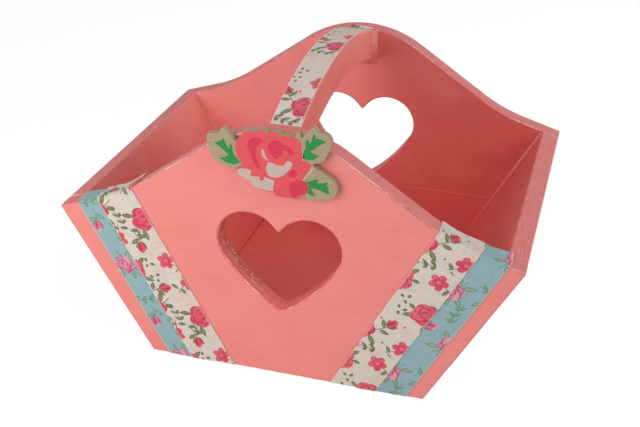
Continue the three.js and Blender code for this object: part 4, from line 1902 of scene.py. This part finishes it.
@dataclass
class Studio:
    """The camera, the lamps, the floor and the white surroundings."""

    lens: float = 56.63
    sensor: float = 36.0
    yaw: float = 17.35 * degree
    pitch: float = 29.13 * degree
    roll: float = 0.62 * degree
    eye: tuple[float, float, float] = (133.56 * mm, -440.1 * mm, 304.84 * mm)
    lamps: tuple[Lamp, ...] = (
        Lamp("key", -31 * degree, 29 * degree, 0.6, 0.42, 1.88),
        Lamp("back", 125 * degree, 50 * degree, 1.0, 0.7, 2.7),
        Lamp("side", 70 * degree, 31 * degree, 1.0, 0.5, 2.5),
    )
    fill: float = 0.185
    floor_share: float = 0.75
    floor_glow: float = 1.18
    floor_size: float = 6.0
    floor_drop: float = 0.3 * mm
    floor_colour: Colour = (0.9, 0.9, 0.9)
    white: Colour = (1.0, 1.0, 1.0)
    clip: float = 10 * mm

    def build(self) -> None:
        """Make the whole studio."""
        self.camera()
        for lamp in self.lamps:
            lamp.hang()
        self.surroundings()
        self.floor()
        bpy.context.scene.view_settings.view_transform = "Standard"

    def camera(self) -> None:
        """Stand the camera where the fitted view is."""
        right = Vector((math.cos(self.yaw), math.sin(self.yaw), 0))
        level = math.cos(self.pitch)
        ahead = Vector((-math.sin(self.yaw) * level, math.cos(self.yaw) * level, -math.sin(self.pitch)))
        down = ahead.cross(right)
        across = right * math.cos(self.roll) + down * math.sin(self.roll)
        upright = right * math.sin(self.roll) - down * math.cos(self.roll)
        lens = bpy.data.cameras.new("camera")
        lens.lens = self.lens
        lens.sensor_width = self.sensor
        lens.clip_start = self.clip
        camera = bpy.data.objects.new("camera", lens)
        turn = Matrix((across, upright, -ahead)).transposed()
        camera.matrix_world = Matrix.Translation(self.eye) @ turn.to_4x4()
        bpy.context.scene.collection.objects.link(camera)
        bpy.context.scene.camera = camera

    def seen_directly(self, graph: Graph) -> Value:
        """1 for rays that the camera, a reflection or clear glass sends, else 0."""
        rays = graph.node("ShaderNodeLightPath", {}, {}).outputs
        direct = Value(graph, rays["Is Camera Ray"])
        for name in ("Is Glossy Ray", "Is Transmission Ray"):
            direct = direct.math("MAXIMUM", Value(graph, rays[name]))
        return direct

    def surroundings(self) -> None:
        """Light the room evenly and show it white."""
        graph = Graph("room")
        world = bpy.data.worlds.new("room")
        world.use_nodes = True
        bpy.data.materials.remove(graph.material)
        graph.tree = world.node_tree
        graph.tree.nodes.clear()
        direct = self.seen_directly(graph)
        light = graph.node(
            "ShaderNodeBackground",
            {},
            {"Color": self.white, "Strength": direct * (1 - self.fill) + self.fill},
        )
        graph.node("ShaderNodeOutputWorld", {}, {"Surface": light.outputs[0]})
        bpy.context.scene.world = world

    def floor(self) -> None:
        """Lay a pale floor that shows white but keeps the basket's shadow."""
        graph = Graph("floor")
        plain = graph.node("ShaderNodeBsdfDiffuse", {}, {"Color": self.floor_colour})
        glow = graph.node(
            "ShaderNodeEmission", {}, {"Color": self.white, "Strength": self.floor_glow}
        )
        share = self.seen_directly(graph) * self.floor_share
        both = graph.node(
            "ShaderNodeMixShader", {}, {0: share, 1: plain.outputs[0], 2: glow.outputs[0]}
        )
        graph.node("ShaderNodeOutputMaterial", {}, {"Surface": both.outputs[0]})
        half = self.floor_size / 2
        corners = [(-half, -half), (half, -half), (half, half), (-half, half)]
        mesh = bpy.data.meshes.new("floor")
        mesh.from_pydata([(x, y, -self.floor_drop) for x, y in corners], [], [(0, 1, 2, 3)])
        mesh.materials.append(graph.material)
        floor = bpy.data.objects.new("floor", mesh)
        bpy.context.scene.collection.objects.link(floor)


FLORAL = FloralCotton(
    name="floral_cotton",
    colours=PrintColours(
        ground=screen(228, 218, 206),
        blush=screen(236, 205, 192),
        flower=screen(233, 84, 108),
        shade=screen(196, 40, 74),
        light=screen(240, 124, 138),
        leaf=screen(140, 150, 106),
        vein=screen(88, 92, 48),
    ),
    repeat=(40, 56),
    roses=(Spot(9, 10, 10), Spot(29, 33, -50), Spot(8, 44, 100)),
    blossoms=(Spot(28, 10, 30), Spot(11, 27, 140), Spot(33, 52, -80)),
    buds=(Spot(20, 20, 160), Spot(38, 20, 20), Spot(20, 53, -100)),
    sprigs=(Spot(18, 34, 85), Spot(38, 3, -35)),
    leaf_trios=(
        Spot(18, 4), Spot(0, 36, 90), Spot(39, 29, 120),
        Spot(19, 12, 300), Spot(24, 26, 200), Spot(0, 2, 60),
    ),
    dots=(Spot(4, 20), Spot(22, 38), Spot(37, 8), Spot(15, 50), Spot(33, 22)),
)

# The handle's strip: fewer roses, on a ground that is brighter as painted light from above and pinker as
# a painted reflection of the coral paint.
SPARSE_FLORAL_PAINTED_LIGHT = replace(
    FLORAL,
    name="sparse_floral_cotton_painted_light",
    colours=replace(FLORAL.colours, ground=screen(238, 221, 211)),
    roses=FLORAL.roses[:1],
)

BLUE = FloralCotton(
    name="blue_cotton",
    colours=PrintColours(
        ground=screen(154, 187, 193),
        blush=screen(160, 193, 197),
        flower=screen(226, 120, 150),
        shade=screen(184, 54, 96),
        light=screen(244, 196, 208),
        leaf=screen(166, 178, 146),
        vein=screen(104, 138, 112),
    ),
    repeat=(34, 56),
    roses=(Spot(8, 10, 30), Spot(22, 38, 200)),
    buds=(Spot(20, 16, 60), Spot(6, 32, 150), Spot(30, 52, -60)),
    sprigs=(Spot(14, 22, 70), Spot(28, 30, 200), Spot(2, 46, -20)),
    rose_radius=5.0,
    bud_size=(2.0, 3.4),
    blush_share=0.4,
)


def main() -> None:
    """Build the studio and the basket, piece by piece."""
    logging.basicConfig(level=logging.INFO, format="%(message)s")
    Studio().build()
    woodwork = Woodwork()
    woodwork.build()
    Beads().build(woodwork.paints[Grain.FILLER.value])
    Brads().build()
    floral, blue = FLORAL.material(), BLUE.material()
    for pair in (
        StripPair(
            side=-1,
            side_name="left",
            margin=9.4 * mm,
            lean=26.83 * degree,
            lap=8.5 * mm,
            print_at=((3 * mm, 6 * mm), (1 * mm, 3 * mm)),
            floral_lifts=(Lift(33.5 * mm, 10.0 * mm, 1.0 * mm, 6.0 * mm),),
            blue_trim=2.0 * mm,
            floral_tail=0.8 * mm,
            floral_flare=2.8 * mm,
        ),
        StripPair(
            side=1,
            side_name="right",
            margin=8.2 * mm,
            lean=28.13 * degree,
            lap=6.6 * mm,
            print_at=((9 * mm, 21 * mm), (13 * mm, 27 * mm)),
            blue_lifts=(Lift(1.5 * mm, 9.0 * mm, 0.9 * mm, 4.0 * mm),),
            blue_trim=2.2 * mm,
        ),
    ):
        pair.build(floral, blue)
    HandleRibbon().build(SPARSE_FLORAL_PAINTED_LIGHT.material(), FLORAL.plain().material())
    RoseOrnament().build()


if __name__ == "__main__":
    main()
